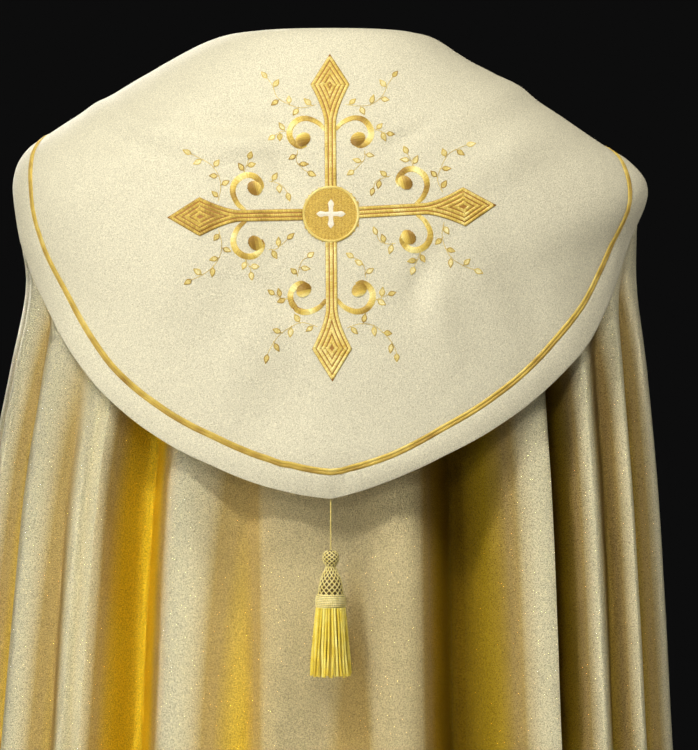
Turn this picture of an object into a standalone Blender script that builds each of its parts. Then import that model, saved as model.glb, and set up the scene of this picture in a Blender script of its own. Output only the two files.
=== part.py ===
"""A cope, as it hangs from the shoulders: a long open cloak in three panels, closed at the chest by a
morse tab, with a large shield-shaped hood behind that carries an embroidered cross, a gold braid and a
tassel. Metres, +Z up. The front opening faces -Y and the hood is at +Y. The origin is the middle of the
neck opening, level with the neckline at the centre of the back, where the wearer's neck stands."""

import math
from collections import namedtuple

import bmesh
import bpy
import numpy as np
from mathutils import Matrix, Vector
from mathutils.bvhtree import BVHTree

# ---- Driving dimensions ----
BODY_WALL = 0.002  # cope cloth with its interlining
HOOD_WALL = 0.0025  # the hood is stiffened
SEAM_GAP = 0.0003  # between neighbouring pieces
BRAID_GAP = 0.0006  # between the braid and the hood, whose faces twist
SQUARENESS = 2.3  # 2 is an ellipse, more is squarer
WEARER_MIDDLE = Vector((0, 0, -0.4))  # the outside of the cloth faces away from here
DEEP_FOLD_STEPS, SHALLOW_FOLD_STEPS = 8, 6  # columns of points in each fold
DEEP_FOLD = 0.03
FULL_FOLD_RING = 11.0  # folds have their "mid" depth here
SUNK = 0.004  # the cloak lies this far inside the envelope where the hood covers it
SUNK_RINGS = (0.0, 1.2, 6.5, 8.5)  # where that begins, is full, starts to end, and ends

HOOD_COLUMNS = 40
HOOD_ROWS = 11  # rows above the braid
HOOD_ROW_SPREAD = 1.4  # more than 1 brings them closer together at the neck
HOOD_FRONT_TURN = math.radians(150)  # where the hood ends at the front neckline
BRAID_WIDTH = 0.0048
BRAID_THICK = 0.0012
NECK_LIFT = 0.0008  # the hood lies this far off the envelope at the neckline
SHOULDER_LIFT = 0.003  # this far on the shoulders
TIP_LIFT = 0.017  # and this far at its tip
LIFT_STARTS, LIFT_LENGTH = 0.17, 0.27  # along the hood from the neckline

CROSS_CENTRE = (0.0, -0.177)  # x and z of the roundel's middle
CROSS_STEM = 0.0056  # half the width of an arm
CROSS_THICK = 0.0011
EMBROIDERY_GAP = 0.0006  # over the hood's facets
LOZENGE_HALF = 0.0178
LOZENGE_WIDEST = 0.0296  # from the point
LOZENGE_NECK = 0.066  # from the point, where the stem begins
ROUNDEL_RADIUS = 0.0262
ROUNDEL_THICK = 0.0019
ROUNDEL_STEPS = 32
ROUNDEL_PROFILE = ((1.0, 0.6), (0.95, 1.0), (0.87, 0.95), (0.8, 0.6), (0.4, 0.6), (0.0, 0.6))  # radius, height
SCROLL_THICK = 0.0018
SCROLL_POINTS = 15

MORSE_HALF_WIDTH = 0.068
MORSE_RINGS = (4.6, 6.5)  # top and bottom edges
MORSE_ROWS, MORSE_COLUMNS = 5, 11
MORSE_WALL = 0.003
MORSE_LIFT = 0.0009  # over the cloak, which is sunk there

TASSEL_CORD = 0.0015  # diameter
TASSEL_DROP = 0.046  # from the hood's tip to the tassel
TASSEL_OUT = 0.012  # how far the cloth below holds the tassel out from under the tip
SKIRT_TOP, SKIRT_DISC, STRAND_ROOT = -0.0523, 0.004, 0.002
STRAND = 0.0028
STRAND_LENGTH = 0.0618
STRAND_RINGS = ((0.0128, 24, 1.38), (0.0084, 14, 1.25), (0.0042, 6, 1.1))  # radius, count, splay

# ---- The cloth's outer envelope: one row for each ring, from the neckline to the hem ----
# Heights at the back, left, right and front, then how far the ring reaches each way, and half the front gap.
Ring = namedtuple("Ring", "back_z left_z right_z front_z left right back front gap")
RINGS = (
    Ring(0.000, 0.000, 0.000, -0.060, 0.086, 0.083, 0.072, 0.084, 0.046),
    Ring(-0.006, -0.004, -0.006, -0.068, 0.108, 0.101, 0.085, 0.096, 0.043),
    Ring(-0.032, -0.018, -0.024, -0.085, 0.138, 0.126, 0.100, 0.107, 0.036),
    Ring(-0.067, -0.040, -0.046, -0.107, 0.177, 0.166, 0.117, 0.121, 0.027),
    Ring(-0.105, -0.067, -0.075, -0.132, 0.222, 0.210, 0.132, 0.132, 0.016),
    Ring(-0.145, -0.093, -0.103, -0.160, 0.264, 0.252, 0.143, 0.139, 0.008),
    Ring(-0.185, -0.114, -0.124, -0.193, 0.291, 0.283, 0.149, 0.143, 0.006),
    Ring(-0.220, -0.141, -0.147, -0.228, 0.303, 0.301, 0.152, 0.149, 0.008),
    Ring(-0.255, -0.182, -0.186, -0.264, 0.303, 0.295, 0.154, 0.154, 0.012),
    Ring(-0.298, -0.240, -0.241, -0.305, 0.297, 0.295, 0.156, 0.160, 0.018),
    Ring(-0.355, -0.320, -0.318, -0.358, 0.313, 0.305, 0.158, 0.168, 0.026),
    Ring(-0.445, -0.425, -0.425, -0.445, 0.333, 0.3155, 0.162, 0.180, 0.038),
    Ring(-0.565, -0.555, -0.555, -0.565, 0.348, 0.3235, 0.171, 0.195, 0.053),
    Ring(-0.710, -0.705, -0.705, -0.710, 0.362, 0.332, 0.188, 0.212, 0.070),
    Ring(-0.900, -0.900, -0.900, -0.900, 0.382, 0.352, 0.220, 0.236, 0.092),
    Ring(-1.140, -1.140, -1.140, -1.140, 0.408, 0.388, 0.265, 0.266, 0.118),
    Ring(-1.400, -1.400, -1.400, -1.400, 0.434, 0.418, 0.312, 0.298, 0.145),
)
HEM_RING = len(RINGS) - 1
# Rings that carry the wall's points: the last stretch is straight enough to miss one.
WALL_RINGS = (0, 1, 2, 3, 4, 5, 6, 7, 8, 9, 10, 11, 12, 13, 14, 16)

# ---- Folds: one row for each trough, from the wearer's left front edge round the back to the right ----
# "until" is the turn in degrees from the centre of the back to the crest that ends the trough, "starts" the
# ring where it begins, "mid" and "hem" its depth, "lean" how far its bottom lies towards that crest, and
# "broad" how much wider its crests are than its bottom. "fall" and "rise" give how it leaves the first crest
# and comes up to the last: 1 is soft and less is crisp.
Fold = namedtuple("Fold", "until starts mid hem lean broad fall rise")
FOLDS = (
    Fold(150, 8.5, 0.015, 0.040, 0.05, 0.3, 1.0, 1.0),
    Fold(130, 8.2, 0.028, 0.056, -0.10, 0.5, 1.0, 1.0),
    Fold(111, 8.0, 0.033, 0.062, 0.08, 0.5, 1.0, 1.0),
    Fold(92, 7.8, 0.036, 0.066, -0.08, 0.5, 1.0, 1.0),
    Fold(73, 7.8, 0.030, 0.064, 0.10, 0.5, 1.0, 1.0),
    Fold(56, 7.7, 0.020, 0.054, 0.05, 0.4, 1.0, 1.0),
    Fold(41.4, 8.0, 0.012, 0.030, 0.10, 0.2, 1.0, 0.8),
    Fold(37.5, 8.5, 0.004, 0.008, -0.20, 0.2, 0.6, 1.0),
    Fold(22.5, 7.2, 0.051, 0.079, 0.0, 0.3, 0.6, 0.75),
    Fold(4.5, 8.6, 0.015, 0.046, 0.12, 0.25, 1.2, 1.0),
    Fold(-8.5, 9.0, 0.006, 0.028, 0.05, 0.1, 1.0, 1.0),
    Fold(-37.5, 7.2, 0.050, 0.085, -0.10, 0.3, 1.0, 1.5),
    Fold(-48, 7.6, 0.042, 0.072, -0.10, 0.4, 0.6, 0.8),
    Fold(-62, 7.6, 0.018, 0.035, 0.10, 0.3, 1.0, 0.7),
    Fold(-84, 7.9, 0.036, 0.068, -0.05, 0.5, 0.8, 1.0),
    Fold(-106, 7.9, 0.034, 0.064, 0.10, 0.5, 1.0, 1.0),
    Fold(-128, 8.1, 0.032, 0.060, -0.08, 0.5, 1.0, 1.0),
    Fold(-149, 8.2, 0.028, 0.056, 0.10, 0.5, 1.0, 1.0),
    Fold(None, 8.5, 0.015, 0.040, -0.05, 0.3, 1.0, 1.0),
)
LEFT_SEAM_FOLD, RIGHT_SEAM_FOLD = 3.5, 15.5  # the side seams run down the middle of these troughs

# ---- The hood's outline: how far its edge and its braid lie from the neckline, along the cloth ----
# One row for each turn in degrees from the centre of the back, on the wearer's left and right.
Reach = namedtuple("Reach", "turn left right left_braid right_braid")
HOOD_OUTLINE = (
    Reach(0, 0.460, 0.460, 0.436, 0.436),
    Reach(8, 0.452, 0.445, 0.427, 0.423),
    Reach(16, 0.441, 0.431, 0.415, 0.406),
    Reach(26, 0.428, 0.416, 0.401, 0.388),
    Reach(38, 0.408, 0.396, 0.379, 0.364),
    Reach(49, 0.385, 0.375, 0.348, 0.337),
    Reach(58, 0.363, 0.346, 0.306, 0.300),
    Reach(67, 0.335, 0.307, 0.254, 0.256),
    Reach(77, 0.278, 0.274, 0.228, 0.230),
    Reach(90, 0.238, 0.237, 0.209, 0.208),
    Reach(105, 0.205, 0.204, 0.178, 0.177),
    Reach(122, 0.160, 0.160, 0.134, 0.134),
    Reach(138, 0.110, 0.110, 0.085, 0.085),
    Reach(150, 0.068, 0.068, 0.044, 0.044),
)

# ---- The cross's arms: the way each points, in degrees from up towards the wearer's left, and its length.
# The drape of the hood swings them a little. ----
Arm = namedtuple("Arm", "name points length")
ARMS = (
    Arm("up", 0.5, 0.147),
    Arm("left", 91.0, 0.150),
    Arm("down", 180.5, 0.153),
    Arm("right", 273.4, 0.152),
)

# ---- A C-scroll, seen square on: distance along its arm, distance across it, and half its width ----
ScrollPoint = namedtuple("ScrollPoint", "along across half")
SCROLL = (
    ScrollPoint(0.0800, 0.0078, 0.0012),
    ScrollPoint(0.0868, 0.0125, 0.0022),
    ScrollPoint(0.0903, 0.0215, 0.0029),
    ScrollPoint(0.0882, 0.0310, 0.0034),
    ScrollPoint(0.0810, 0.0372, 0.0037),
    ScrollPoint(0.0720, 0.0376, 0.0038),
    ScrollPoint(0.0655, 0.0325, 0.0038),
    ScrollPoint(0.0650, 0.0262, 0.0052),
    ScrollPoint(0.0702, 0.0246, 0.0064),
    ScrollPoint(0.0748, 0.0262, 0.0030),
)

# ---- The tassel's head, turned: radius, and height from the tassel's top ----
KNOB_AND_BELL = (
    (0.0000, 0.0000),
    (0.0038, -0.0006),
    (0.0066, -0.0036),
    (0.0073, -0.0074),
    (0.0062, -0.0114),
    (0.0042, -0.0142),
    (0.0040, -0.0166),
    (0.0060, -0.0196),
    (0.0086, -0.0250),
    (0.0104, -0.0320),
    (0.0112, -0.0400),
    (0.0000, -0.0400),
)
BAND = (
    (0.0000, -0.0403),
    (0.0118, -0.0403),
    (0.0132, -0.0422),
    (0.0135, -0.0460),
    (0.0133, -0.0500),
    (0.0122, -0.0520),
    (0.0000, -0.0520),
)
HEAD_STEPS = 16

COLOURS = {  # base colour, roughness, metallic
    "cope_gold": ((0.78, 0.66, 0.40, 1), 0.45, 0.5),
    "hood_ivory": ((0.84, 0.79, 0.64, 1), 0.6, 0.15),
    "gold_thread": ((0.80, 0.56, 0.14, 1), 0.35, 0.5),
    "tassel_gold": ((0.86, 0.68, 0.16, 1), 0.5, 0.2),
}


def clear_scene():
    for old in list(bpy.data.objects):
        bpy.data.objects.remove(old, do_unlink=True)


def make_materials():
    for name, (colour, roughness, metallic) in COLOURS.items():
        material = bpy.data.materials.new(name)
        material.use_nodes = True
        shader = material.node_tree.nodes["Principled BSDF"]
        shader.inputs["Base Color"].default_value = colour
        shader.inputs["Roughness"].default_value = roughness
        shader.inputs["Metallic"].default_value = metallic


def make_collection():
    collection = bpy.data.collections.new("cope")
    bpy.context.scene.collection.children.link(collection)
    return collection


def link_node(name, mesh, material):
    """Puts a finished mesh in the scene as one named object."""
    mesh.materials.clear()
    mesh.materials.append(bpy.data.materials[material])
    piece = bpy.data.objects.new(name, mesh)
    bpy.data.collections["cope"].objects.link(piece)
    return piece


# ---- Curves and grids of points ----


def smooth_steps(values, at):
    """A Catmull-Rom curve through evenly numbered values, read at fractional numbers."""
    values = np.asarray(values, float)
    last = len(values) - 1
    at = np.clip(at, 0, last)
    i = np.minimum(np.floor(at).astype(int), last - 1)
    t = at - i
    ends = np.concatenate(([2 * values[0] - values[1]], values, [2 * values[-1] - values[-2]]))
    a, b, c, d = (ends[i + n] for n in range(4))
    return b + 0.5 * t * (c - a + t * (2 * a - 5 * b + 4 * c - d + t * (3 * (b - c) + d - a)))


def along_rings(column, ring):
    return smooth_steps([getattr(row, column) for row in RINGS], ring)


def smoothstep(x):
    x = np.clip(x, 0, 1)
    return x * x * (3 - 2 * x)


def envelope(turn, ring):
    """The smooth outer surface that the crests of the folds touch. turn is 0 at the centre of the back
    and grows towards the wearer's left, and ring counts down the rows of RINGS."""
    turn, ring = np.broadcast_arrays(np.asarray(turn, float), np.asarray(ring, float))
    side, back = np.sin(turn), np.cos(turn)
    power = 2 / SQUARENESS
    on_left, at_back = side > 0, back > 0
    wide = np.where(on_left, along_rings("left", ring), along_rings("right", ring))
    deep = np.where(at_back, along_rings("back", ring), along_rings("front", ring))
    side_z = np.where(on_left, along_rings("left_z", ring), along_rings("right_z", ring))
    middle_z = np.where(at_back, along_rings("back_z", ring), along_rings("front_z", ring))
    return np.stack(
        (
            wide * np.sign(side) * np.abs(side) ** power,
            deep * np.sign(back) * np.abs(back) ** power,
            side_z * side**2 + middle_z * back**2,
        ),
        axis=-1,
    )


def front_edge_turn(ring, wide):
    """The turn at which the front edge lies half the front gap from the middle."""
    share = along_rings("gap", ring) / along_rings(wide, ring)
    return math.pi - np.arcsin(share ** (SQUARENESS / 2))


def fold_depth(fold, ring):
    grow = fold.mid * smoothstep((ring - fold.starts) / (FULL_FOLD_RING - fold.starts))
    more = (fold.hem - fold.mid) * np.clip((ring - FULL_FOLD_RING) / (HEM_RING - FULL_FOLD_RING), 0, 1)
    return grow + more


def sunk(ring):
    start, full, ease, end = SUNK_RINGS
    return SUNK * smoothstep((ring - start) / (full - start)) * (1 - smoothstep((ring - ease) / (end - ease)))


def level_normals(turn, ring):
    """The way out of the envelope at each point, kept level."""
    run = envelope(turn + 0.01, ring) - envelope(turn - 0.01, ring)
    way = np.stack((-run[..., 1], run[..., 0]), axis=-1) / np.hypot(run[..., 0], run[..., 1])[..., None]
    return way * np.sign(np.sum(way * envelope(turn, ring)[..., :2], axis=-1))[..., None]


def cloak(column, ring):
    """The cloak's outer surface. column counts the folds from the left front edge, fractions included."""
    number = min(int(column), len(FOLDS) - 1)
    fold, part = FOLDS[number], column - number
    first = front_edge_turn(ring, "left") if number == 0 else math.radians(FOLDS[number - 1].until)
    last = -front_edge_turn(ring, "right") if fold.until is None else math.radians(fold.until)
    sag = ((1 - math.cos(2 * math.pi * part)) / 2) ** (fold.fall if part < 0.5 else fold.rise)
    sway = part + fold.broad * math.sin(2 * math.pi * part) / (2 * math.pi)
    depth = fold_depth(fold, ring)
    lean = fold.lean * sag * np.clip(depth / fold.mid, 0, 1)
    turn = first + (last - first) * (sway + lean)
    points = envelope(turn, ring)
    points[:, :2] *= (1 - sunk(ring) / np.hypot(points[:, 0], points[:, 1]))[:, None]
    points[:, :2] -= level_normals(turn, ring) * (depth * sag)[:, None]
    return points


def make_sheet(name, grid, wall, material, outwards=True, shares=None):
    """Cloth through a grid of points: an open surface with Solidify. The wall is added on the outside, or
    on the inside, and shares gives each point its part of the full thickness."""
    mesh = bpy.data.meshes.new(name)
    form = bmesh.new()
    rows = [[form.verts.new(point) for point in row] for row in grid]
    for upper, lower in zip(rows, rows[1:]):
        for a, b, c, d in zip(upper, upper[1:], lower[1:], lower):
            form.faces.new((a, b, c, d))
    form.normal_update()
    facing = sum(
        face.normal.dot(face.calc_center_median() - WEARER_MIDDLE) * face.calc_area() for face in form.faces
    )
    if facing < 0:
        bmesh.ops.reverse_faces(form, faces=form.faces)
    form.to_mesh(mesh)
    form.free()
    mesh.shade_smooth()
    mesh.set_sharp_from_angle(angle=math.radians(60))
    piece = link_node(name, mesh, material)
    solidify = piece.modifiers.new("Cloth", "SOLIDIFY")
    solidify.thickness = wall
    solidify.offset = 1 if outwards else -1
    if shares is not None:
        pile = piece.vertex_groups.new(name="Height")
        for index, share in enumerate(np.asarray(shares).ravel()):
            pile.add([index], float(share), "REPLACE")
        solidify.vertex_group = pile.name
    return piece


# ---- The cloak ----


def cloak_grid():
    """Outer points of the whole cloak, and the fold number of each column."""
    columns = []
    for number, fold in enumerate(FOLDS):
        steps = DEEP_FOLD_STEPS if fold.mid > DEEP_FOLD else SHALLOW_FOLD_STEPS
        columns += [number + step / steps for step in range(steps)]
    columns.append(float(len(FOLDS)))
    rings = np.array(WALL_RINGS, float)
    return columns, np.stack([cloak(column, rings) for column in columns], axis=1)


def make_cloak():
    columns, outer = cloak_grid()
    along = np.gradient(outer, axis=1)
    along /= np.linalg.norm(along, axis=-1, keepdims=True)
    left, right = columns.index(LEFT_SEAM_FOLD), columns.index(RIGHT_SEAM_FOLD)
    panels = (
        ("cope_front_left", 0, left),
        ("cope_back", left, right),
        ("cope_front_right", right, len(columns) - 1),
    )
    for name, first, last in panels:
        panel = outer[:, first : last + 1].copy()
        if first:
            panel[:, 0] += along[:, first] * SEAM_GAP / 2
        if last < len(columns) - 1:
            panel[:, -1] -= along[:, last] * SEAM_GAP / 2
        make_sheet(name, panel, BODY_WALL, "cope_gold", outwards=False)


# ---- The hood and what is sewn on it ----


def hood_reach(turn):
    """How far the hood's edge and the middle of its braid lie down the cloth at this turn."""
    at = np.interp(abs(math.degrees(turn)), [row.turn for row in HOOD_OUTLINE], range(len(HOOD_OUTLINE)))
    sides = ("left", "left_braid") if turn > 0 else ("right", "right_braid")
    return [float(smooth_steps([getattr(row, side) for row in HOOD_OUTLINE], at)) for side in sides]


def rings_at(turn, lengths):
    """The ring numbers that lie these distances down the cloth from the neckline."""
    rings = np.linspace(0, FULL_FOLD_RING + 1.5, 400)
    steps = np.linalg.norm(np.diff(envelope(turn, rings), axis=0), axis=1)
    return np.interp(lengths, np.concatenate(([0], np.cumsum(steps))), rings)


def hood_turns():
    """Turns of the hood's columns, closer together round the tip."""
    even = np.linspace(-1, 1, HOOD_COLUMNS + 1)
    return HOOD_FRONT_TURN * (0.75 * even + 0.25 * even**3)


def hood_under():
    """The hood's inner face. Its rows run from the neckline to the outline, two of them along the braid."""
    turns = hood_turns()
    columns, lengths = [], []
    for turn in turns:
        edge, braid = hood_reach(turn)
        top = braid - BRAID_WIDTH / 2
        down = [top * (row / HOOD_ROWS) ** HOOD_ROW_SPREAD for row in range(HOOD_ROWS)]
        down += [top, top + BRAID_WIDTH, (top + BRAID_WIDTH + edge) / 2, edge]
        columns.append(envelope(turn, rings_at(turn, down)))
        lengths.append(down)
    grid, lengths = np.stack(columns, axis=1), np.array(lengths).T
    lift = NECK_LIFT + (SHOULDER_LIFT - NECK_LIFT) * smoothstep(lengths / 0.05)
    behind = np.clip(np.cos(turns), 0, 1)
    lift += (TIP_LIFT - SHOULDER_LIFT) * behind * smoothstep((lengths - LIFT_STARTS) / LIFT_LENGTH)
    return grid + lift[..., None] * outward(grid)


def outward(grid):
    """Unit normals of a grid, turned away from the wearer."""
    normals = np.cross(np.gradient(grid, axis=1), np.gradient(grid, axis=0))
    normals /= np.linalg.norm(normals, axis=-1, keepdims=True)
    return normals if np.sum(normals * (grid - WEARER_MIDDLE)) > 0 else -normals


def make_hood():
    """Makes the hood and its braid, and gives the hood's outer points."""
    under = hood_under()
    make_sheet("hood", under, HOOD_WALL, "hood_ivory")
    over = under + HOOD_WALL * outward(under)
    braid = (over + BRAID_GAP * outward(over))[HOOD_ROWS : HOOD_ROWS + 2]
    make_sheet("hood_braid", braid, BRAID_THICK, "gold_thread")
    return over


def surface_tree(grid):
    rows, columns = grid.shape[:2]
    number = np.arange(rows * columns).reshape(rows, columns)
    faces = []
    for r in range(rows - 1):
        for c in range(columns - 1):
            faces.append([int(number[r, c]), int(number[r, c + 1]), int(number[r + 1, c + 1])])
            faces.append([int(number[r, c]), int(number[r + 1, c + 1]), int(number[r + 1, c])])
    return BVHTree.FromPolygons([Vector(p) for p in grid.reshape(-1, 3)], faces)


def laid_on(tree, flat):
    """Points given by x and z, dropped on the back of the hood and lifted just off it."""
    points = np.empty((*flat.shape[:2], 3))
    for at in np.ndindex(*flat.shape[:2]):
        spot, normal, _, _ = tree.ray_cast(Vector((flat[at][0], 1.0, flat[at][1])), Vector((0, -1, 0)))
        points[at] = spot + normal * math.copysign(EMBROIDERY_GAP, normal.y)
    return points


def about_the_cross(along, across, turned):
    """Points of one arm, turned about the roundel's middle: 0 is the arm that points up."""
    c, s = math.cos(turned), math.sin(turned)
    return np.stack(
        (CROSS_CENTRE[0] + along * s + across * c, CROSS_CENTRE[1] + along * c - across * s), axis=-1
    )


def arm_half_width(from_point):
    """Half the width of an arm of the cross, this far from its point: a stem that ends in a lozenge."""
    if from_point <= LOZENGE_WIDEST:
        return LOZENGE_HALF * max(from_point / LOZENGE_WIDEST, 0.02)
    share = (LOZENGE_NECK - from_point) / (LOZENGE_NECK - LOZENGE_WIDEST)
    return CROSS_STEM + (LOZENGE_HALF - CROSS_STEM) * max(share, 0) ** 1.5


def make_cross(tree):
    for arm in ARMS:
        neck, widest = arm.length - LOZENGE_NECK, arm.length - LOZENGE_WIDEST
        along = np.concatenate(
            (
                np.linspace(ROUNDEL_RADIUS + 3 * SEAM_GAP, neck, 6, endpoint=False),
                np.linspace(neck, widest, 6, endpoint=False),
                np.linspace(widest, arm.length, 4),
            )
        )
        half = np.array([arm_half_width(arm.length - distance) for distance in along])
        flat = about_the_cross(along[:, None], half[:, None] * (-1, 0, 1), math.radians(arm.points))
        shares = np.tile((0.6, 1, 0.6), (len(along), 1))
        make_sheet("cross_arm_" + arm.name, laid_on(tree, flat), CROSS_THICK, "gold_thread", shares=shares)


def make_roundel(tree):
    turns = np.linspace(0, 2 * math.pi, ROUNDEL_STEPS + 1)
    radii, shares = zip(*ROUNDEL_PROFILE)
    radii = np.array(radii)[:, None] * ROUNDEL_RADIUS
    flat = about_the_cross(radii * np.cos(turns), radii * np.sin(turns), 0)
    shares = np.tile(np.array(shares)[:, None], (1, len(turns)))
    disc = make_sheet("cross_roundel", laid_on(tree, flat), ROUNDEL_THICK, "gold_thread", shares=shares)
    form = bmesh.new()
    form.from_mesh(disc.data)
    bmesh.ops.remove_doubles(form, verts=form.verts, dist=0.00001)
    form.to_mesh(disc.data)
    form.free()


def make_scrolls(tree):
    at = np.linspace(0, len(SCROLL) - 1, SCROLL_POINTS)
    along, across, half = (smooth_steps([getattr(p, f) for p in SCROLL], at) for f in ScrollPoint._fields)
    run = np.hypot(np.gradient(along), np.gradient(across))
    side_along, side_across = -np.gradient(across) / run * half, np.gradient(along) / run * half
    shares = np.tile((0.45, 1, 0.45), (len(at), 1))
    for number in range(2 * len(ARMS)):
        mirror = -1 if number % 2 else 1
        offsets = np.array((-1, 0, 1))
        far = along[:, None] + side_along[:, None] * offsets
        wide = (across[:, None] + side_across[:, None] * offsets) * mirror
        flat = about_the_cross(far, wide, math.radians(ARMS[number // 2].points))
        make_sheet(f"scroll_{number + 1}", laid_on(tree, flat), SCROLL_THICK, "gold_thread", shares=shares)


# ---- The morse, the tab that closes the front ----


def make_morse():
    """A tab over both front edges, bent to the chest."""
    rings = np.linspace(*MORSE_RINGS, MORSE_ROWS)
    columns = []
    for x in np.linspace(-MORSE_HALF_WIDTH, MORSE_HALF_WIDTH, MORSE_COLUMNS):
        share = abs(x) / along_rings("left" if x > 0 else "right", rings)
        turn = math.pi - np.arcsin(share ** (SQUARENESS / 2))
        columns.append(envelope(np.copysign(turn, x), rings))
    grid = np.stack(columns, axis=1)
    make_sheet("morse_tab", grid + (MORSE_LIFT - SUNK) * outward(grid), MORSE_WALL, "hood_ivory")


# ---- The tassel ----


def make_turned(name, profile, top, material, steps=HEAD_STEPS):
    """A turned solid: a profile in the XZ plane with a Screw modifier."""
    mesh = bpy.data.meshes.new(name)
    points = [(radius, 0, height) for radius, height in profile]
    mesh.from_pydata(points, [(i, i + 1) for i in range(len(points) - 1)], [])
    piece = link_node(name, mesh, material)
    piece.location = top
    screw = piece.modifiers.new("Turn", "SCREW")
    screw.steps = screw.render_steps = steps
    screw.use_merge_vertices = True
    screw.merge_threshold = 0.00005
    return piece


def make_cord(start, end):
    curve = bpy.data.curves.new("tassel_cord", "CURVE")
    curve.dimensions = "3D"
    curve.bevel_depth = TASSEL_CORD / 2
    curve.bevel_resolution = 2
    curve.use_fill_caps = True
    line = curve.splines.new("POLY")
    count = 12
    line.points.add(count - 1)
    for i in range(count):
        line.points[i].co = (*Vector(start).lerp(Vector(end), i / (count - 1)), 1)
    curve.materials.append(bpy.data.materials["tassel_gold"])
    cord = bpy.data.objects.new("tassel_cord", curve)
    bpy.data.collections["cope"].objects.link(cord)


def make_skirt(top):
    """The tassel's strands, each a four-sided yarn, with their roots in a thin disc."""
    form = bmesh.new()
    for radius, count, splay in STRAND_RINGS:
        for number in range(count):
            length = STRAND_LENGTH * (1 - 0.05 * (number * 7 % 5) / 4)
            lean = math.atan(radius * (splay - 1) / length)
            turn = Matrix.Rotation(2 * math.pi * (number + 0.5) / count, 4, "Z")
            root = Matrix.Translation((radius, 0, SKIRT_TOP - STRAND_ROOT))
            hang = Matrix.Rotation(-lean, 4, "Y") @ Matrix.Translation((0, 0, -length / 2))
            square = Matrix.Rotation(math.pi / 4, 4, "Z")
            bmesh.ops.create_cone(
                form,
                cap_ends=True,
                segments=4,
                radius1=STRAND * 0.71,
                radius2=STRAND * 0.71,
                depth=length,
                matrix=turn @ root @ hang @ square,
            )
    mesh = bpy.data.meshes.new("strands")
    form.to_mesh(mesh)
    form.free()
    strands = bpy.data.objects.new("strands", mesh)
    strands.location = top
    strands.hide_render = True
    strands.display_type = "WIRE"
    bpy.data.collections["cutters"].objects.link(strands)
    edge = STRAND_RINGS[0][0] + STRAND * 0.75
    disc = ((0, SKIRT_TOP), (edge, SKIRT_TOP), (edge, SKIRT_TOP - SKIRT_DISC), (0, SKIRT_TOP - SKIRT_DISC))
    skirt = make_turned("tassel_skirt", disc, top, "tassel_gold", STRAND_RINGS[0][1])
    join = skirt.modifiers.new("Strands", "BOOLEAN")
    join.operation = "UNION"
    join.object = strands
    join.solver = "EXACT"


def make_tassel(hood_edge):
    """Hangs the tassel from the hood's tip, on a cord that the cloth behind it holds a little way out."""
    tip = Vector(hood_edge) - Vector((0, 0, SEAM_GAP))
    top = tip + Vector((0, TASSEL_OUT, -TASSEL_DROP))
    make_cord(tip, top + Vector((0, 0, SEAM_GAP)))
    make_turned("tassel_head", KNOB_AND_BELL, top, "tassel_gold")
    make_turned("tassel_band", BAND, top, "tassel_gold")
    make_skirt(top)


def main():
    clear_scene()
    make_materials()
    make_collection()
    cutters = bpy.data.collections.new("cutters")
    cutters.hide_render = True
    bpy.context.scene.collection.children.link(cutters)
    make_cloak()
    hood = make_hood()
    tree = surface_tree(hood)
    make_cross(tree)
    make_roundel(tree)
    make_scrolls(tree)
    make_morse()
    make_tassel(hood_under()[-1, HOOD_COLUMNS // 2] * 0.5 + hood[-1, HOOD_COLUMNS // 2] * 0.5)


main()
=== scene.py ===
# A cope seen from behind: a gold cloak, and an ivory hood with an embroidered cross, a gold braid and a tassel.
import math

import bmesh
import bpy
import numpy as np
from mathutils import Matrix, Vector, noise
from mathutils.bvhtree import BVHTree


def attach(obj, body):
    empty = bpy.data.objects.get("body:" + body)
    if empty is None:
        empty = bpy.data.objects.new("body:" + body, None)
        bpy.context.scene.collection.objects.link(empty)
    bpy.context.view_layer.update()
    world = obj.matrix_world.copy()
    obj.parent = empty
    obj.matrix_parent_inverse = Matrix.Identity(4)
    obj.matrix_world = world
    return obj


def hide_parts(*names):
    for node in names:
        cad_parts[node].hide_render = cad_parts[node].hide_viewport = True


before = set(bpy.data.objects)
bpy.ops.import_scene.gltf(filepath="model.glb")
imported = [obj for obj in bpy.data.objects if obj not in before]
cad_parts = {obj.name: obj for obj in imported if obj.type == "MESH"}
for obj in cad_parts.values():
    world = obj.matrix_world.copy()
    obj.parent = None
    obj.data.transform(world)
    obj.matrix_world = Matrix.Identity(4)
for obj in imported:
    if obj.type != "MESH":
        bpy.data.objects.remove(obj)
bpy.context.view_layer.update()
print("solids to dress:", len(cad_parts))

cameraSet = {"place": (-0.0166, 3.0, -0.3248), "lens": 148.69, "tall": 36.0}

# Where each lamp stands, what it faces, its size, its watts and its colour.
lampSet = {
    "keyLamp": ((0.9, 1.5, 1.5), (0.0, 0.1, -0.4), (0.3, 0.3), 50, (1.0, 0.98, 0.95)),
    "sideLamp": ((1.6, 2.1, -0.7), (0.0, 0.1, -0.4), (0.3, 0.5), 24, (1.0, 0.98, 0.95)),
    "stripLamp": ((2.2, 1.0, 0.5), (0.0, 0.1, -0.4), (0.3, 1.6), 12, (1.0, 0.98, 0.95)),
    "topLamp": ((-0.9, 0.8, 1.5), (0.0, 0.1, -0.4), (0.4, 0.4), 24, (1.0, 0.96, 0.90)),
    "fillLamp": ((0.35, 2.7, 0.7), (0.0, 0.1, -0.4), (0.4, 0.4), 20, (1.0, 0.98, 0.95)),
    "rimLamp": ((-1.8, -1.0, 0.2), (0.0, 0.1, -0.4), (0.3, 1.6), 6, (1.0, 0.98, 0.95)),
    "frontLamp": ((0.9, -2.6, 0.7), (0.0, 0.0, -0.5), (1.6, 1.6), 75, (1.0, 0.98, 0.96)),
}
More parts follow.
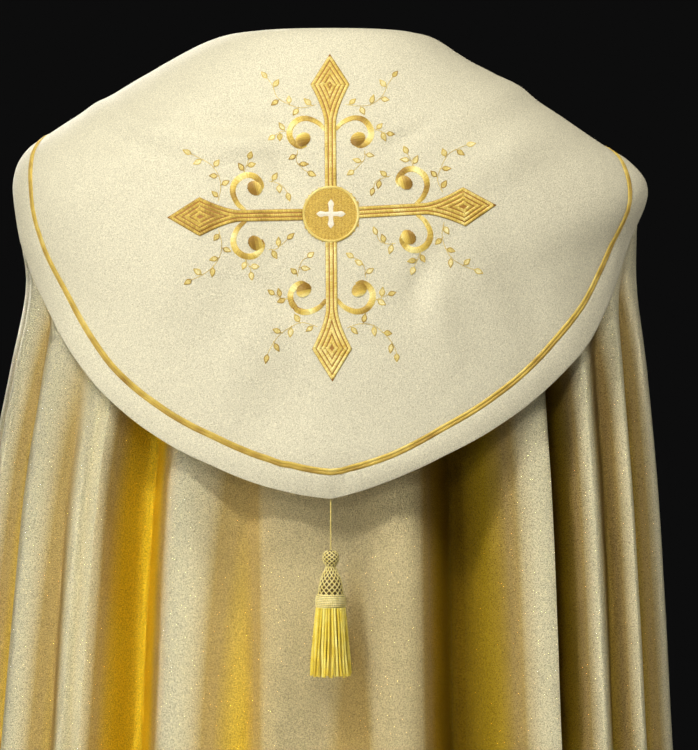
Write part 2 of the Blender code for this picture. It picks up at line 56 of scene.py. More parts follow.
stageSet = {
    "floorZ": -1.47, "radius": 2.4, "sides": 96, "paint": (0.62, 0.61, 0.59), "roughness": 0.7,
    "room": (0.004, 0.004, 0.004), "roomLight": 1.0,
}


def addObject(name, data):
    thing = bpy.data.objects.new(name, data)
    bpy.context.scene.collection.objects.link(thing)
    return thing


def meshOf(name, form):
    mesh = bpy.data.meshes.new(name)
    form.to_mesh(mesh)
    form.free()
    return mesh


def placeCamera():
    lens = bpy.data.cameras.new("camera")
    lens.sensor_fit = "VERTICAL"
    lens.sensor_height = cameraSet["tall"]
    lens.lens = cameraSet["lens"]
    camera = addObject("camera", lens)
    camera.location = cameraSet["place"]
    camera.rotation_euler = (math.pi / 2, 0, math.pi)
    bpy.context.scene.camera = camera


def placeLamps():
    for name, (place, target, size, watts, colour) in lampSet.items():
        light = bpy.data.lights.new(name, "AREA")
        light.shape = "RECTANGLE"
        light.size, light.size_y = size
        light.energy = watts
        light.color = colour
        lamp = addObject(name, light)
        lamp.location = place
        lamp.rotation_euler = (Vector(target) - Vector(place)).to_track_quat("-Z", "Y").to_euler()


def placeFloor():
    world = bpy.data.worlds.new("room")
    world.use_nodes = True
    air = world.node_tree.nodes["Background"]
    air.inputs["Color"].default_value = (*stageSet["room"], 1)
    air.inputs["Strength"].default_value = stageSet["roomLight"]
    bpy.context.scene.world = world
    bpy.context.scene.view_settings.view_transform = "Standard"
    form = bmesh.new()
    bmesh.ops.create_circle(form, cap_ends=True, segments=stageSet["sides"], radius=stageSet["radius"])
    bmesh.ops.translate(form, verts=form.verts, vec=(0, 0, stageSet["floorZ"]))
    floor = addObject("floor", meshOf("floor", form))
    shader = newFinish("paleFloor", 0, stageSet["roughness"])[1]
    shader.inputs["Base Color"].default_value = (*stageSet["paint"], 1)
    floor.data.materials.append(bpy.data.materials["paleFloor"])


def addNode(tree, kind, sockets=None, **settings):
    # A node with its settings, and its sockets linked or filled in.
    node = tree.nodes.new(kind)
    for key, value in settings.items():
        setattr(node, key, value)
    for key, value in (sockets or {}).items():
        if isinstance(value, bpy.types.NodeSocket):
            tree.links.new(value, node.inputs[key])
        else:
            node.inputs[key].default_value = value
    return node


def outOf(tree, kind, sockets=None, output=0, **settings):
    # One output of a new node.
    return addNode(tree, kind, sockets, **settings).outputs[output]


def newTree(name, kind, inputs, outputs):
    # A tree whose inputs are given by a value to start from, or by a socket type alone.
    tree = bpy.data.node_groups.new(name, kind)
    for label, value in inputs.items():
        bare = isinstance(value, str)
        socketType = value if bare else {float: "Float", int: "Int", tuple: "Color"}[type(value)]
        socket = tree.interface.new_socket(label, in_out="INPUT", socket_type="NodeSocket" + socketType)
        if not bare:
            socket.default_value = value
    for label, socketType in outputs.items():
        tree.interface.new_socket(label, in_out="OUTPUT", socket_type="NodeSocket" + socketType)
    return tree, tree.nodes.new("NodeGroupInput").outputs, tree.nodes.new("NodeGroupOutput").inputs


def sums(tree, operation, *values):
    return outOf(tree, "ShaderNodeMath", dict(enumerate(values)), operation=operation)


def vectorSums(tree, operation, sockets):
    return outOf(tree, "ShaderNodeVectorMath", sockets, operation=operation)


def blendColours(tree, factor, first, second, kind="MIX"):
    return outOf(tree, "ShaderNodeMix", {0: factor, 6: first, 7: second}, 2, data_type="RGBA", blend_type=kind)


def spread(tree, value, low, high, lowest=0.0, highest=1.0):
    return outOf(tree, "ShaderNodeMapRange", {0: value, 1: low, 2: high, 3: lowest, 4: highest})


def dimmed(tree, colour, level):
    # A colour made lighter or darker by a level.
    grey = outOf(tree, "ShaderNodeCombineColor", {0: level, 1: level, 2: level})
    return blendColours(tree, 1.0, colour, grey, "MULTIPLY")


def runNodes(piece, tree, values):
    # Runs a Geometry Nodes tree on a piece and keeps the result as a plain mesh.
    modifier = piece.modifiers.new(tree.name, "NODES")
    modifier.node_group = tree
    for item in tree.interface.items_tree:
        if item.item_type == "SOCKET" and item.in_out == "INPUT" and item.name in values:
            modifier[item.identifier] = values[item.name]
    return baked(piece)


def baked(piece):
    # The piece as its modifiers show it, as a plain mesh.
    graph = bpy.context.evaluated_depsgraph_get()
    mesh = bpy.data.meshes.new_from_object(
        piece.evaluated_get(graph), preserve_all_data_layers=True, depsgraph=graph
    )
    piece.modifiers.clear()
    old, piece.data = piece.data, mesh
    bpy.data.meshes.remove(old)
    mesh.name = piece.name
    return piece


# Cloth colours: the cloth's own colour at the crests, then painted fold light: painted tan shade on the way down,
# painted yellow reflected light down in the folds, and painted dark shade in the closest folds.
clothSet = {
    "copeGold": {
        "colours": ((0.88, 0.85, 0.70), (0.76, 0.66, 0.41), (0.88, 0.75, 0.18), (0.36, 0.25, 0.04)),
        "metallic": 0.95, "roughness": 0.33, "grain": (0.48, 1.34), "scale": 900, "bump": 0.0008,
    },
    "hoodIvory": {
        "colours": ((0.80, 0.775, 0.665),) * 4,
        "metallic": 0.2, "roughness": 0.6, "grain": (0.64, 1.20), "scale": 980, "bump": 0.0004,
    },
}
# Between which depths of a fold the painted tan shade and the painted yellow reflected light come in, how seldom a
# thread glints and how high it stands, how much the grain changes the gloss, and how much of the relief shows.
weaveSet = {
    "flanks": (0.0, 0.25), "bottoms": (0.45, 1.0), "rare": 0.93, "glint": 1.5, "gloss": 0.06, "relief": 0.8,
    "noise": {"Detail": 2.5, "Roughness": 0.75}, "noiseSpan": (0.32, 0.68), "cells": 1.25,
}
# Threads: deep, middle and light colour, metallic, roughness, how strong their soft patches are and their scale.
silkSet = {
    "satinGold": ((0.56, 0.42, 0.11), (0.82, 0.71, 0.32), (0.94, 0.90, 0.62), 0.15, 0.4, 0.9, 60.0),
    "leafPale": ((0.70, 0.56, 0.22), (0.84, 0.76, 0.44), (0.92, 0.87, 0.64), 0.1, 0.5, 0.6, 120.0),
    "roundelGold": ((0.62, 0.48, 0.14), (0.78, 0.65, 0.26), (0.90, 0.79, 0.42), 0.15, 0.45, 0.9, 700.0),
    "couchBrown": ((0.56, 0.38, 0.09), (0.62, 0.44, 0.12), (0.70, 0.52, 0.18), 0.1, 0.6, 0.3, 200.0),
    # The tassel's cores: a dark olive that is painted shade, showing between the net's strands and the wrap's turns.
    "coreOlive": ((0.34, 0.27, 0.06), (0.42, 0.34, 0.09), (0.52, 0.43, 0.14), 0.1, 0.6, 0.3, 200.0),
    "ivorySilk": ((0.80, 0.76, 0.66), (0.88, 0.85, 0.76), (0.95, 0.93, 0.86), 0.0, 0.5, 0.4, 200.0),
    "tasselYellow": ((0.74, 0.58, 0.06), (0.93, 0.83, 0.27), (1.0, 0.97, 0.60), 0.15, 0.36, 0.8, 90.0),
    "netCream": ((0.62, 0.52, 0.20), (0.86, 0.79, 0.46), (0.98, 0.94, 0.72), 0.15, 0.42, 0.7, 300.0),
}
fibreSet = {"scale": 1500.0, "span": (0.3, 0.7), "levels": (0.82, 1.1), "relief": 0.4, "bump": 0.0002}


def dye(colour):
    # A colour as the eye sees it, made linear.
    return tuple(c / 12.92 if c <= 0.04045 else ((c + 0.055) / 1.055) ** 2.4 for c in colour) + (1,)


def makeGrainGroup():
    # The salt-and-pepper grain of cloth woven with metal thread, and the few threads that glint.
    tree, given, out = newTree(
        "metalGrain", "ShaderNodeTree", {"Scale": 800.0, "Rare": 0.94}, {"Grain": "Float", "Glint": "Float"}
    )
    place = outOf(tree, "ShaderNodeTexCoord", output="Object")
    fine = outOf(
        tree, "ShaderNodeTexNoise", {"Vector": place, "Scale": given["Scale"], **weaveSet["noise"]}, "Fac"
    )
    size = sums(tree, "MULTIPLY", given["Scale"], weaveSet["cells"])
    cells = outOf(tree, "ShaderNodeTexVoronoi", {"Vector": place, "Scale": size}, "Color")
    bright = outOf(tree, "ShaderNodeSeparateColor", {"Color": cells})
    tree.links.new(spread(tree, fine, *weaveSet["noiseSpan"]), out["Grain"])
    tree.links.new(spread(tree, bright, given["Rare"], 1.0), out["Glint"])
    return tree


def makeSilkGroup():
    # Silk or metal thread: its tone runs from deep to light along the work, in soft patches.
    plain = (0.5, 0.5, 0.5, 1.0)
    tree, given, out = newTree(
        "silkTone",
        "ShaderNodeTree",
        {"Deep": plain, "Middle": plain, "Light": plain, "Patch": 0.35, "Scale": 70.0},
        {"Colour": "Color", "Fibre": "Float"},
    )
    place = outOf(tree, "ShaderNodeTexCoord", output="Object")
    shade = outOf(tree, "ShaderNodeAttribute", output="Fac", attribute_name="shade")
    patches, fibre = (
        outOf(tree, "ShaderNodeTexNoise", {"Vector": place, "Scale": scale, "Detail": 1.0}, "Fac")
        for scale in (given["Scale"], fibreSet["scale"])
    )
    swing = sums(tree, "MULTIPLY", sums(tree, "SUBTRACT", patches, 0.5), given["Patch"])
    level = outOf(tree, "ShaderNodeClamp", {0: sums(tree, "ADD", shade, swing)})
    low = blendColours(tree, spread(tree, level, 0.0, 0.5), given["Deep"], given["Middle"])
    high = blendColours(tree, spread(tree, level, 0.5, 1.0), low, given["Light"])
    speck = spread(tree, fibre, *fibreSet["span"], *fibreSet["levels"])
    tree.links.new(dimmed(tree, high, speck), out["Colour"])
    tree.links.new(fibre, out["Fibre"])
    return tree


def newFinish(name, metallic, roughness):
    finish = bpy.data.materials.new(name)
    finish.use_nodes = True
    shader = finish.node_tree.nodes["Principled BSDF"]
    shader.inputs["Metallic"].default_value = metallic
    shader.inputs["Roughness"].default_value = roughness
    return finish.node_tree, shader


def makeClothFinishes(grainGroup):
    for name, cloth in clothSet.items():
        tree, shader = newFinish(name, cloth["metallic"], cloth["roughness"])
        sizes = {"Scale": cloth["scale"], "Rare": weaveSet["rare"]}
        grain, glint = addNode(tree, "ShaderNodeGroup", sizes, node_tree=grainGroup).outputs
        # Painted fold light on the cloak: tan shade and yellow reflected light by a fold's depth, and dark brown shade
        # where a fold is closed.
        hollow, closed = (
            outOf(tree, "ShaderNodeAttribute", output="Fac", attribute_name=key) for key in ("hollow", "closed")
        )
        crest, paintedTanShade, bottom, paintedShadeBrown = (dye(colour) for colour in cloth["colours"])
        base = blendColours(tree, spread(tree, hollow, *weaveSet["flanks"]), crest, paintedTanShade)
        base = blendColours(tree, spread(tree, hollow, *weaveSet["bottoms"]), base, bottom)
        base = blendColours(tree, closed, base, paintedShadeBrown)
        level = spread(tree, grain, 0.0, 1.0, *cloth["grain"])
        tree.links.new(dimmed(tree, base, level), shader.inputs["Base Color"])
        most, least = cloth["roughness"] + weaveSet["gloss"], cloth["roughness"] - weaveSet["gloss"]
        tree.links.new(spread(tree, grain, 0.0, 1.0, most, least), shader.inputs["Roughness"])
        height = sums(tree, "ADD", grain, sums(tree, "MULTIPLY", glint, weaveSet["glint"]))
        relief = {"Strength": weaveSet["relief"], "Distance": cloth["bump"], "Height": height}
        tree.links.new(outOf(tree, "ShaderNodeBump", relief), shader.inputs["Normal"])


def makeSilkFinishes(silkGroup):
    for name, (deep, middle, light, metallic, roughness, patch, scale) in silkSet.items():
        tree, shader = newFinish(name, metallic, roughness)
        tones = {"Deep": dye(deep), "Middle": dye(middle), "Light": dye(light), "Patch": patch, "Scale": scale}
        colour, fibre = addNode(tree, "ShaderNodeGroup", tones, node_tree=silkGroup).outputs
        tree.links.new(colour, shader.inputs["Base Color"])
        relief = {"Strength": fibreSet["relief"], "Distance": fibreSet["bump"], "Height": fibre}
        tree.links.new(outOf(tree, "ShaderNodeBump", relief), shader.inputs["Normal"])


# One laid thread is a flat oval swept along a low arch: its thickness, where the arch ends and how high its
# middle pulls it, and how many steps and sides it has.
threadSet = {"thick": 0.22, "ends": -0.2, "middle": 1.8, "steps": 4, "sides": 4}
# Two plies of a yarn: how far each lies from its middle and how thick it is, for the yarn's own thickness.
plySet = {"reach": 0.25, "thick": 0.27}


def makeStitchTree():
    # Lays threads across or along a line. Each point of the line gives half the thread's length, its height
    # and its tone.
    tree, given, out = newTree(
        "laidStitches",
        "GeometryNodeTree",
        {
            "Line": "Geometry", "Spacing": 0.0006, "Thread": 0.0007, "Turned": 0.0, "Uneven": 0.05, "Slip": 0.0,
            "Mottle": 0.0, "Seed": 1, "Finish": "Material",
        },
        {"Stitches": "Geometry"},
    )

    def geometry(kind, sockets=None, **settings):
        return outOf(tree, "GeometryNode" + kind, sockets, **settings)

    def named(name, kind="FLOAT"):
        return geometry("InputNamedAttribute", {"Name": name}, data_type=kind)

    def scattered(low, high, seedStep):
        seed = sums(tree, "ADD", given["Seed"], seedStep)
        return outOf(tree, "FunctionNodeRandomValue", {2: low, 3: high, "Seed": seed}, 1, data_type="FLOAT")

    def eitherWay(amount, seedStep):
        return scattered(sums(tree, "MULTIPLY", amount, -1.0), amount, seedStep)

    line = geometry("MeshToCurve", {0: given["Line"]})
    line = geometry("ResampleCurve", {"Curve": line, "Length": given["Spacing"]}, mode="LENGTH")
    up, tangent = named("up", "FLOAT_VECTOR"), geometry("InputTangent")
    uneven = scattered(
        sums(tree, "SUBTRACT", 1.0, given["Uneven"]), sums(tree, "ADD", 1.0, given["Uneven"]), 0.0
    )
    side = vectorSums(tree, "CROSS_PRODUCT", {0: tangent, 1: up})
    moved = vectorSums(tree, "SCALE", {0: side, "Scale": eitherWay(given["Slip"], 7.0)})
    line = geometry("SetPosition", {"Geometry": line, "Offset": moved})
    tone = outOf(tree, "ShaderNodeClamp", {0: sums(tree, "ADD", named("shade"), eitherWay(given["Mottle"], 3.0))})
    shaded = {"Geometry": line, "Name": "shade", "Value": tone}
    line = geometry("StoreNamedAttribute", shaded, data_type="FLOAT", domain="POINT")
    facing = outOf(
        tree, "FunctionNodeAxesToRotation", {0: up, 1: tangent}, primary_axis="Z", secondary_axis="Y"
    )
    turn = outOf(tree, "FunctionNodeAxisAngleToRotation", {"Axis": (0, 0, 1), "Angle": given["Turned"]})
    facing = outOf(tree, "FunctionNodeRotateRotation", {0: facing, 1: turn}, rotation_space="LOCAL")
    start, middle, end = (-1, 0, threadSet["ends"]), (0, 0, threadSet["middle"]), (1, 0, threadSet["ends"])
    bend = {"Resolution": threadSet["steps"], "Start": start, "Middle": middle, "End": end}
    arch = geometry("CurveQuadraticBezier", bend)
    halfThread = sums(tree, "MULTIPLY", given["Thread"], 0.5)
    flat = outOf(tree, "ShaderNodeCombineXYZ", {0: halfThread, 1: threadSet["thick"], 2: 1.0})
    ring = geometry("CurvePrimitiveCircle", {"Resolution": threadSet["sides"], "Radius": 1.0})
    ring = geometry("Transform", {"Geometry": ring, "Scale": flat})
    thread = geometry("CurveToMesh", {0: arch, 1: ring, "Fill Caps": True})
    reach = sums(tree, "MULTIPLY", named("half"), uneven)
    size = outOf(tree, "ShaderNodeCombineXYZ", {0: reach, 1: 1.0, 2: named("crown")})
    threads = geometry(
        "InstanceOnPoints", {"Points": line, "Instance": thread, "Rotation": facing, "Scale": size}
    )
    threads = geometry("RealizeInstances", {0: threads})
    tree.links.new(geometry("SetMaterial", {"Geometry": threads, "Material": given["Finish"]}), out[0])
    return tree


def makeYarnTree():
    # Twists two plies round a line.
    tree, given, out = newTree(
        "pliedYarn",
        "GeometryNodeTree",
        {"Line": "Geometry", "Yarn": 0.0015, "Pitch": 0.004, "Step": 0.001, "Sides": 6, "Finish": "Material"},
        {"Yarns": "Geometry"},
    )

    def geometry(kind, sockets=None, output=0, **settings):
        return outOf(tree, "GeometryNode" + kind, sockets, output, **settings)

    line = geometry("MeshToCurve", {0: given["Line"]})
    line = geometry("ResampleCurve", {"Curve": line, "Length": given["Step"]}, mode="LENGTH")
    turns = sums(tree, "DIVIDE", geometry("SplineParameter", output="Length"), given["Pitch"])
    angle = sums(tree, "MULTIPLY", turns, 2 * math.pi)
    normal, tangent = geometry("InputNormal"), geometry("InputTangent")
    other = vectorSums(tree, "CROSS_PRODUCT", {0: tangent, 1: normal})
    reach, thick = (sums(tree, "MULTIPLY", given["Yarn"], plySet[size]) for size in ("reach", "thick"))
    profile = geometry("CurvePrimitiveCircle", {"Resolution": given["Sides"], "Radius": thick})
    joined = addNode(tree, "GeometryNodeJoinGeometry")
    for phase in (0.0, math.pi):
        swung = sums(tree, "ADD", angle, phase)
        across, along = (
            vectorSums(tree, "SCALE", {0: way, "Scale": sums(tree, "MULTIPLY", sums(tree, turn, swung), reach)})
            for way, turn in ((normal, "COSINE"), (other, "SINE"))
        )
        offset = vectorSums(tree, "ADD", {0: across, 1: along})
        ply = geometry("SetPosition", {"Geometry": line, "Offset": offset})
        tree.links.new(geometry("CurveToMesh", {0: ply, 1: profile, "Fill Caps": True}), joined.inputs[0])
    yarns = geometry("RealizeInstances", {0: joined.outputs[0]})
    tree.links.new(geometry("SetMaterial", {"Geometry": yarns, "Material": given["Finish"]}), out[0])
    return tree


def lineMesh(name, lines):
    # Open lines as one mesh. Each line is its points, their normals, and half, crown and shade at each point.
    points, ups, edges, numbers = [], [], [], {"half": [], "crown": [], "shade": []}
    for line in lines:
        first, count = len(points), len(line["points"])
        points.extend(line["points"])
        ups.extend(line.get("ups", [(0, 1, 0)] * count))
        edges.extend((first + i, first + i + 1) for i in range(count - 1))
        for key in numbers:
            numbers[key].extend(np.broadcast_to(line.get(key, 0.5), count))
    mesh = bpy.data.meshes.new(name)
    mesh.from_pydata([tuple(map(float, p)) for p in points], edges, [])
    mesh.attributes.new("up", "FLOAT_VECTOR", "POINT").data.foreach_set("vector", np.array(ups, float).ravel())
    for key, values in numbers.items():
        mesh.attributes.new(key, "FLOAT", "POINT").data.foreach_set("value", np.array(values, float))
    return addObject(name, mesh)


def alongLines(tree, name, lines, finish, values):
    # Runs a tree along lines, and turns the faces of what it makes outwards.
    inputs = {"Finish": bpy.data.materials[finish], **{key.capitalize(): values[key] for key in values}}
    piece = runNodes(lineMesh(name, lines), tree, inputs)
    form = bmesh.new()
    form.from_mesh(piece.data)
    bmesh.ops.recalc_face_normals(form, faces=form.faces)
    for face in form.faces:
        face.smooth = True
    form.to_mesh(piece.data)
    form.free()
    return piece


def laid(name, lines, finish, **values):
    return alongLines(stitchTree, name, lines, finish, values)


def yarned(name, lines, finish, **values):
    return alongLines(yarnTree, name, lines, finish, values)


def joinPieces(name, pieces):
    # Several meshes as one object, each with its own finish.
    with bpy.context.temp_override(active_object=pieces[0], selected_editable_objects=pieces):
        bpy.ops.object.join()
    pieces[0].name = pieces[0].data.name = name
    return pieces[0]


def smoothSteps(values, at):
    # A smooth curve through evenly numbered values, read at fractional numbers.
    values = np.asarray(values, float)
    last = len(values) - 1
    at = np.clip(at, 0, last)
    i = np.minimum(np.floor(at).astype(int), last - 1)
    t = at - i
    ends = np.concatenate(([2 * values[0] - values[1]], values, [2 * values[-1] - values[-2]]))
    a, b, c, d = (ends[i + n] for n in range(4))
    return b + 0.5 * t * (c - a + t * (2 * a - 5 * b + 4 * c - d + t * (3 * (b - c) + d - a)))


def easeIn(x):
    x = np.clip(x, 0, 1)
    return x * x * (3 - 2 * x)


wearerMiddle = (0, 0, -0.4)
envelopeSet = {
    "squareness": 2.3,
    "fullFoldRing": 11.0,
    "sunk": 0.004,  # the cloak lies this much lower under the hood
    "sunkRings": (0.0, 1.2, 6.5, 8.5),
    # One row for each ring from the neckline to the hem: heights at the back, left, right and front,
    # the reach to the left, right, back and front, and half the front gap.
    "rings": np.array((
        (0.000, 0.000, 0.000, -0.060, 0.086, 0.083, 0.072, 0.084, 0.046),
        (-0.006, -0.004, -0.006, -0.068, 0.108, 0.101, 0.085, 0.096, 0.043),
        (-0.032, -0.018, -0.024, -0.085, 0.138, 0.126, 0.100, 0.107, 0.036),
        (-0.067, -0.040, -0.046, -0.107, 0.177, 0.166, 0.117, 0.121, 0.027),
        (-0.105, -0.067, -0.075, -0.132, 0.222, 0.210, 0.132, 0.132, 0.016),
        (-0.145, -0.093, -0.103, -0.160, 0.264, 0.252, 0.143, 0.139, 0.008),
        (-0.185, -0.114, -0.124, -0.193, 0.291, 0.283, 0.149, 0.143, 0.006),
        (-0.220, -0.141, -0.147, -0.228, 0.303, 0.301, 0.152, 0.149, 0.008),
        (-0.255, -0.182, -0.186, -0.264, 0.303, 0.295, 0.154, 0.154, 0.012),
        (-0.298, -0.240, -0.241, -0.305, 0.297, 0.295, 0.156, 0.160, 0.018),
        (-0.355, -0.320, -0.318, -0.358, 0.313, 0.305, 0.158, 0.168, 0.026),
        (-0.445, -0.425, -0.425, -0.445, 0.333, 0.3155, 0.162, 0.180, 0.038),
        (-0.565, -0.555, -0.555, -0.565, 0.348, 0.3235, 0.171, 0.195, 0.053),
        (-0.710, -0.705, -0.705, -0.710, 0.362, 0.332, 0.188, 0.212, 0.070),
        (-0.900, -0.900, -0.900, -0.900, 0.382, 0.352, 0.220, 0.236, 0.092),
        (-1.140, -1.140, -1.140, -1.140, 0.408, 0.388, 0.265, 0.266, 0.118),
        (-1.400, -1.400, -1.400, -1.400, 0.434, 0.418, 0.312, 0.298, 0.145),
    )),
}
ringColumns = ("backZ", "leftZ", "rightZ", "frontZ", "left", "right", "back", "front", "gap")


def alongRings(column, ring):
    return smoothSteps(envelopeSet["rings"][:, ringColumns.index(column)], ring)


def envelope(turn, ring):
    # The smooth surface that the folds' crests touch. turn is 0 at the centre of the back and grows to the left.
    turn, ring = np.broadcast_arrays(np.asarray(turn, float), np.asarray(ring, float))
    side, back = np.sin(turn), np.cos(turn)
    power = 2 / envelopeSet["squareness"]
    wide = np.where(side > 0, alongRings("left", ring), alongRings("right", ring))
    deep = np.where(back > 0, alongRings("back", ring), alongRings("front", ring))
    sideZ = np.where(side > 0, alongRings("leftZ", ring), alongRings("rightZ", ring))
    middleZ = np.where(back > 0, alongRings("backZ", ring), alongRings("frontZ", ring))
    x, y = wide * np.sign(side) * np.abs(side) ** power, deep * np.sign(back) * np.abs(back) ** power
    return np.stack((x, y, sideZ * side**2 + middleZ * back**2), axis=-1)


def turnAt(wide, ring, edge):
    # How far round the front a place lies that is this far to one side of the middle.
    share = wide / alongRings(edge, ring)
    return math.pi - np.arcsin(share ** (envelopeSet["squareness"] / 2))


def unit(vectors):
    return vectors / np.linalg.norm(vectors, axis=-1, keepdims=True)


def crossed(grid):
    # Normals of a grid as its rows and columns give them, not yet turned or made one long.
    return np.cross(np.gradient(grid, axis=1), np.gradient(grid, axis=0))


def outward(grid):
    # Unit normals of a grid, turned away from the wearer.
    normals = unit(crossed(grid))
    return normals if np.sum(normals * (grid - wearerMiddle)) > 0 else -normals


def gridCorners(rows, columns):
    # The four corners of each face of a grid of points, as numbers of points.
    number = np.arange(rows * columns).reshape(rows, columns)
    return number[:-1, :-1], number[:-1, 1:], number[1:, 1:], number[1:, :-1]


def gridMesh(name, grid, finish, **tones):
    # An open surface through a grid of points, facing outwards, with a UV map in metres.
    rows, columns = grid.shape[:2]
    quads = np.stack(gridCorners(rows, columns), axis=-1).reshape(-1, 4)
    if np.sum(crossed(grid) * (grid - wearerMiddle)) < 0:
        quads = quads[:, ::-1]
    mesh = bpy.data.meshes.new(name)
    mesh.from_pydata(grid.reshape(-1, 3).tolist(), [], quads.tolist())
    across = np.linalg.norm(np.diff(grid, axis=1), axis=-1)
    down = np.linalg.norm(np.diff(grid, axis=0), axis=-1)
    u = np.concatenate((np.zeros((rows, 1)), np.cumsum(across, axis=1)), axis=1)
    v = np.concatenate((np.zeros((1, columns)), np.cumsum(down, axis=0)), axis=0)
    uv = np.stack((u - u[:, -1:] / 2, -v), axis=-1).reshape(-1, 2)
    mesh.uv_layers.new(name="cloth").data.foreach_set("uv", uv[quads.ravel()].ravel())
    for label, values in tones.items():
        mesh.attributes.new(label, "FLOAT", "POINT").data.foreach_set("value", values.ravel())
    mesh.shade_smooth()
    mesh.materials.append(bpy.data.materials[finish])
    return addObject(name, mesh)


edgeSet = {"steps": 2, "sharp": math.radians(65)}  # rounded edges, and the angle from which one is rounded


def giveWall(piece, wall, outwards, roundEdge):
    solidify = piece.modifiers.new("wall", "SOLIDIFY")
    solidify.thickness = wall
    solidify.offset = 1 if outwards else -1
    bevel = piece.modifiers.new("softEdge", "BEVEL")
    bevel.width = roundEdge
    bevel.segments = edgeSet["steps"]
    bevel.limit_method = "ANGLE"
    bevel.angle_limit = edgeSet["sharp"]
    bevel.use_clamp_overlap = True


def finishPiece(piece, slot, *nodes):
    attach(piece, "root")
    if nodes:
        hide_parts(*nodes)


cloakSet = {
    "wall": 0.002,
    "columnsPerFold": 18,
    "upperRows": 64,
    "lowerRows": 56,
    "seamGap": 0.0003,
    "edge": 0.0007,
    "paintedLightDepth": 0.033,  # how deep in a fold the painted fold light is full, with the painted yellow reflected light
    "unrest": 0.0016,  # small unevenness of the hanging cloth
    "unrestRings": (8.0, 11.0),  # where it starts and where it is full
    "waves": (13, 13, 3.0),  # how close its waves lie along x, y and z
    # One row for each trough, from the left front edge round the back to the right: the turn of the crest
    # that ends it, the ring where it starts, its depth in the middle and at the hem, how far its bottom leans
    # to that crest, how broad its crests are, and how it falls from the first crest and to the last: 1 is
    # soft and less is crisp. The last value is how much painted shade darkens its bottom where it is closed.
    "folds": (
        (150, 8.5, 0.015, 0.040, 0.05, 0.3, 1.0, 1.0, 0.3),
        (130, 8.2, 0.028, 0.056, -0.10, 0.5, 1.0, 1.0, 0.4),
        (111, 8.0, 0.033, 0.062, 0.08, 0.5, 1.0, 1.0, 0.4),
        (92, 7.8, 0.036, 0.066, -0.08, 0.5, 1.0, 1.0, 0.4),
        (73, 7.8, 0.030, 0.064, 0.10, 0.5, 1.0, 1.0, 0.2),
        (56, 7.7, 0.020, 0.054, 0.05, 0.4, 1.0, 1.0, 0.1),
        (41.4, 8.0, 0.012, 0.030, 0.10, 0.2, 1.0, 0.8, 0.0),
        (37.5, 8.5, 0.004, 0.008, -0.20, 0.2, 0.6, 1.0, 0.0),
        (22.5, 7.2, 0.051, 0.079, 0.0, 0.3, 0.6, 0.75, 0.0),
        (4.5, 8.6, 0.015, 0.046, 0.12, 0.25, 1.2, 1.0, 0.0),
        (-8.5, 9.0, 0.006, 0.028, 0.05, 0.1, 1.0, 1.0, 0.1),
        (-37.5, 7.2, 0.050, 0.085, -0.10, 0.3, 1.0, 1.5, 0.85),
        (-48, 7.6, 0.042, 0.072, -0.10, 0.4, 0.6, 0.8, 1.0),
        (-62, 7.6, 0.018, 0.035, 0.10, 0.3, 1.0, 0.7, 0.55),
        (-84, 7.9, 0.036, 0.068, -0.05, 0.5, 0.8, 1.0, 0.8),
        (-106, 7.9, 0.034, 0.064, 0.10, 0.5, 1.0, 1.0, 0.5),
        (-128, 8.1, 0.032, 0.060, -0.08, 0.5, 1.0, 1.0, 0.4),
        (-149, 8.2, 0.028, 0.056, 0.10, 0.5, 1.0, 1.0, 0.4),
        (None, 8.5, 0.015, 0.040, -0.05, 0.3, 1.0, 1.0, 0.3),
    ),
    "sideSeams": (3.5, 15.5),
    # Painted tan shade across the middle of the back: x, and how far its crests have gone to the painted tan flank
    # colour
    "paintedTanBand": ((-0.12, 0.0), (-0.08, 0.12), (0.10, 0.14), (0.135, 0.0)),
    # Each panel's cut, a sector of a half circle of 1.45 m radius: its greatest width, its length and its area.
    "cuts": {
        "cope_back": (2.36, 1.45, 2.02),
        "cope_front_left": (0.86, 1.45, 0.65),
        "cope_front_right": (0.86, 1.45, 0.65),
    },
}


def sunkUnder(ring):
    start, full, ease, end = envelopeSet["sunkRings"]
    return envelopeSet["sunk"] * easeIn((ring - start) / (full - start)) * (1 - easeIn((ring - ease) / (end - ease)))


def levelNormals(turn, ring):
    # The way out of the envelope at each point, kept level.
    run = envelope(turn + 0.01, ring) - envelope(turn - 0.01, ring)
    way = np.stack((-run[..., 1], run[..., 0]), axis=-1) / np.hypot(run[..., 0], run[..., 1])[..., None]
    return way * np.sign(np.sum(way * envelope(turn, ring)[..., :2], axis=-1))[..., None]


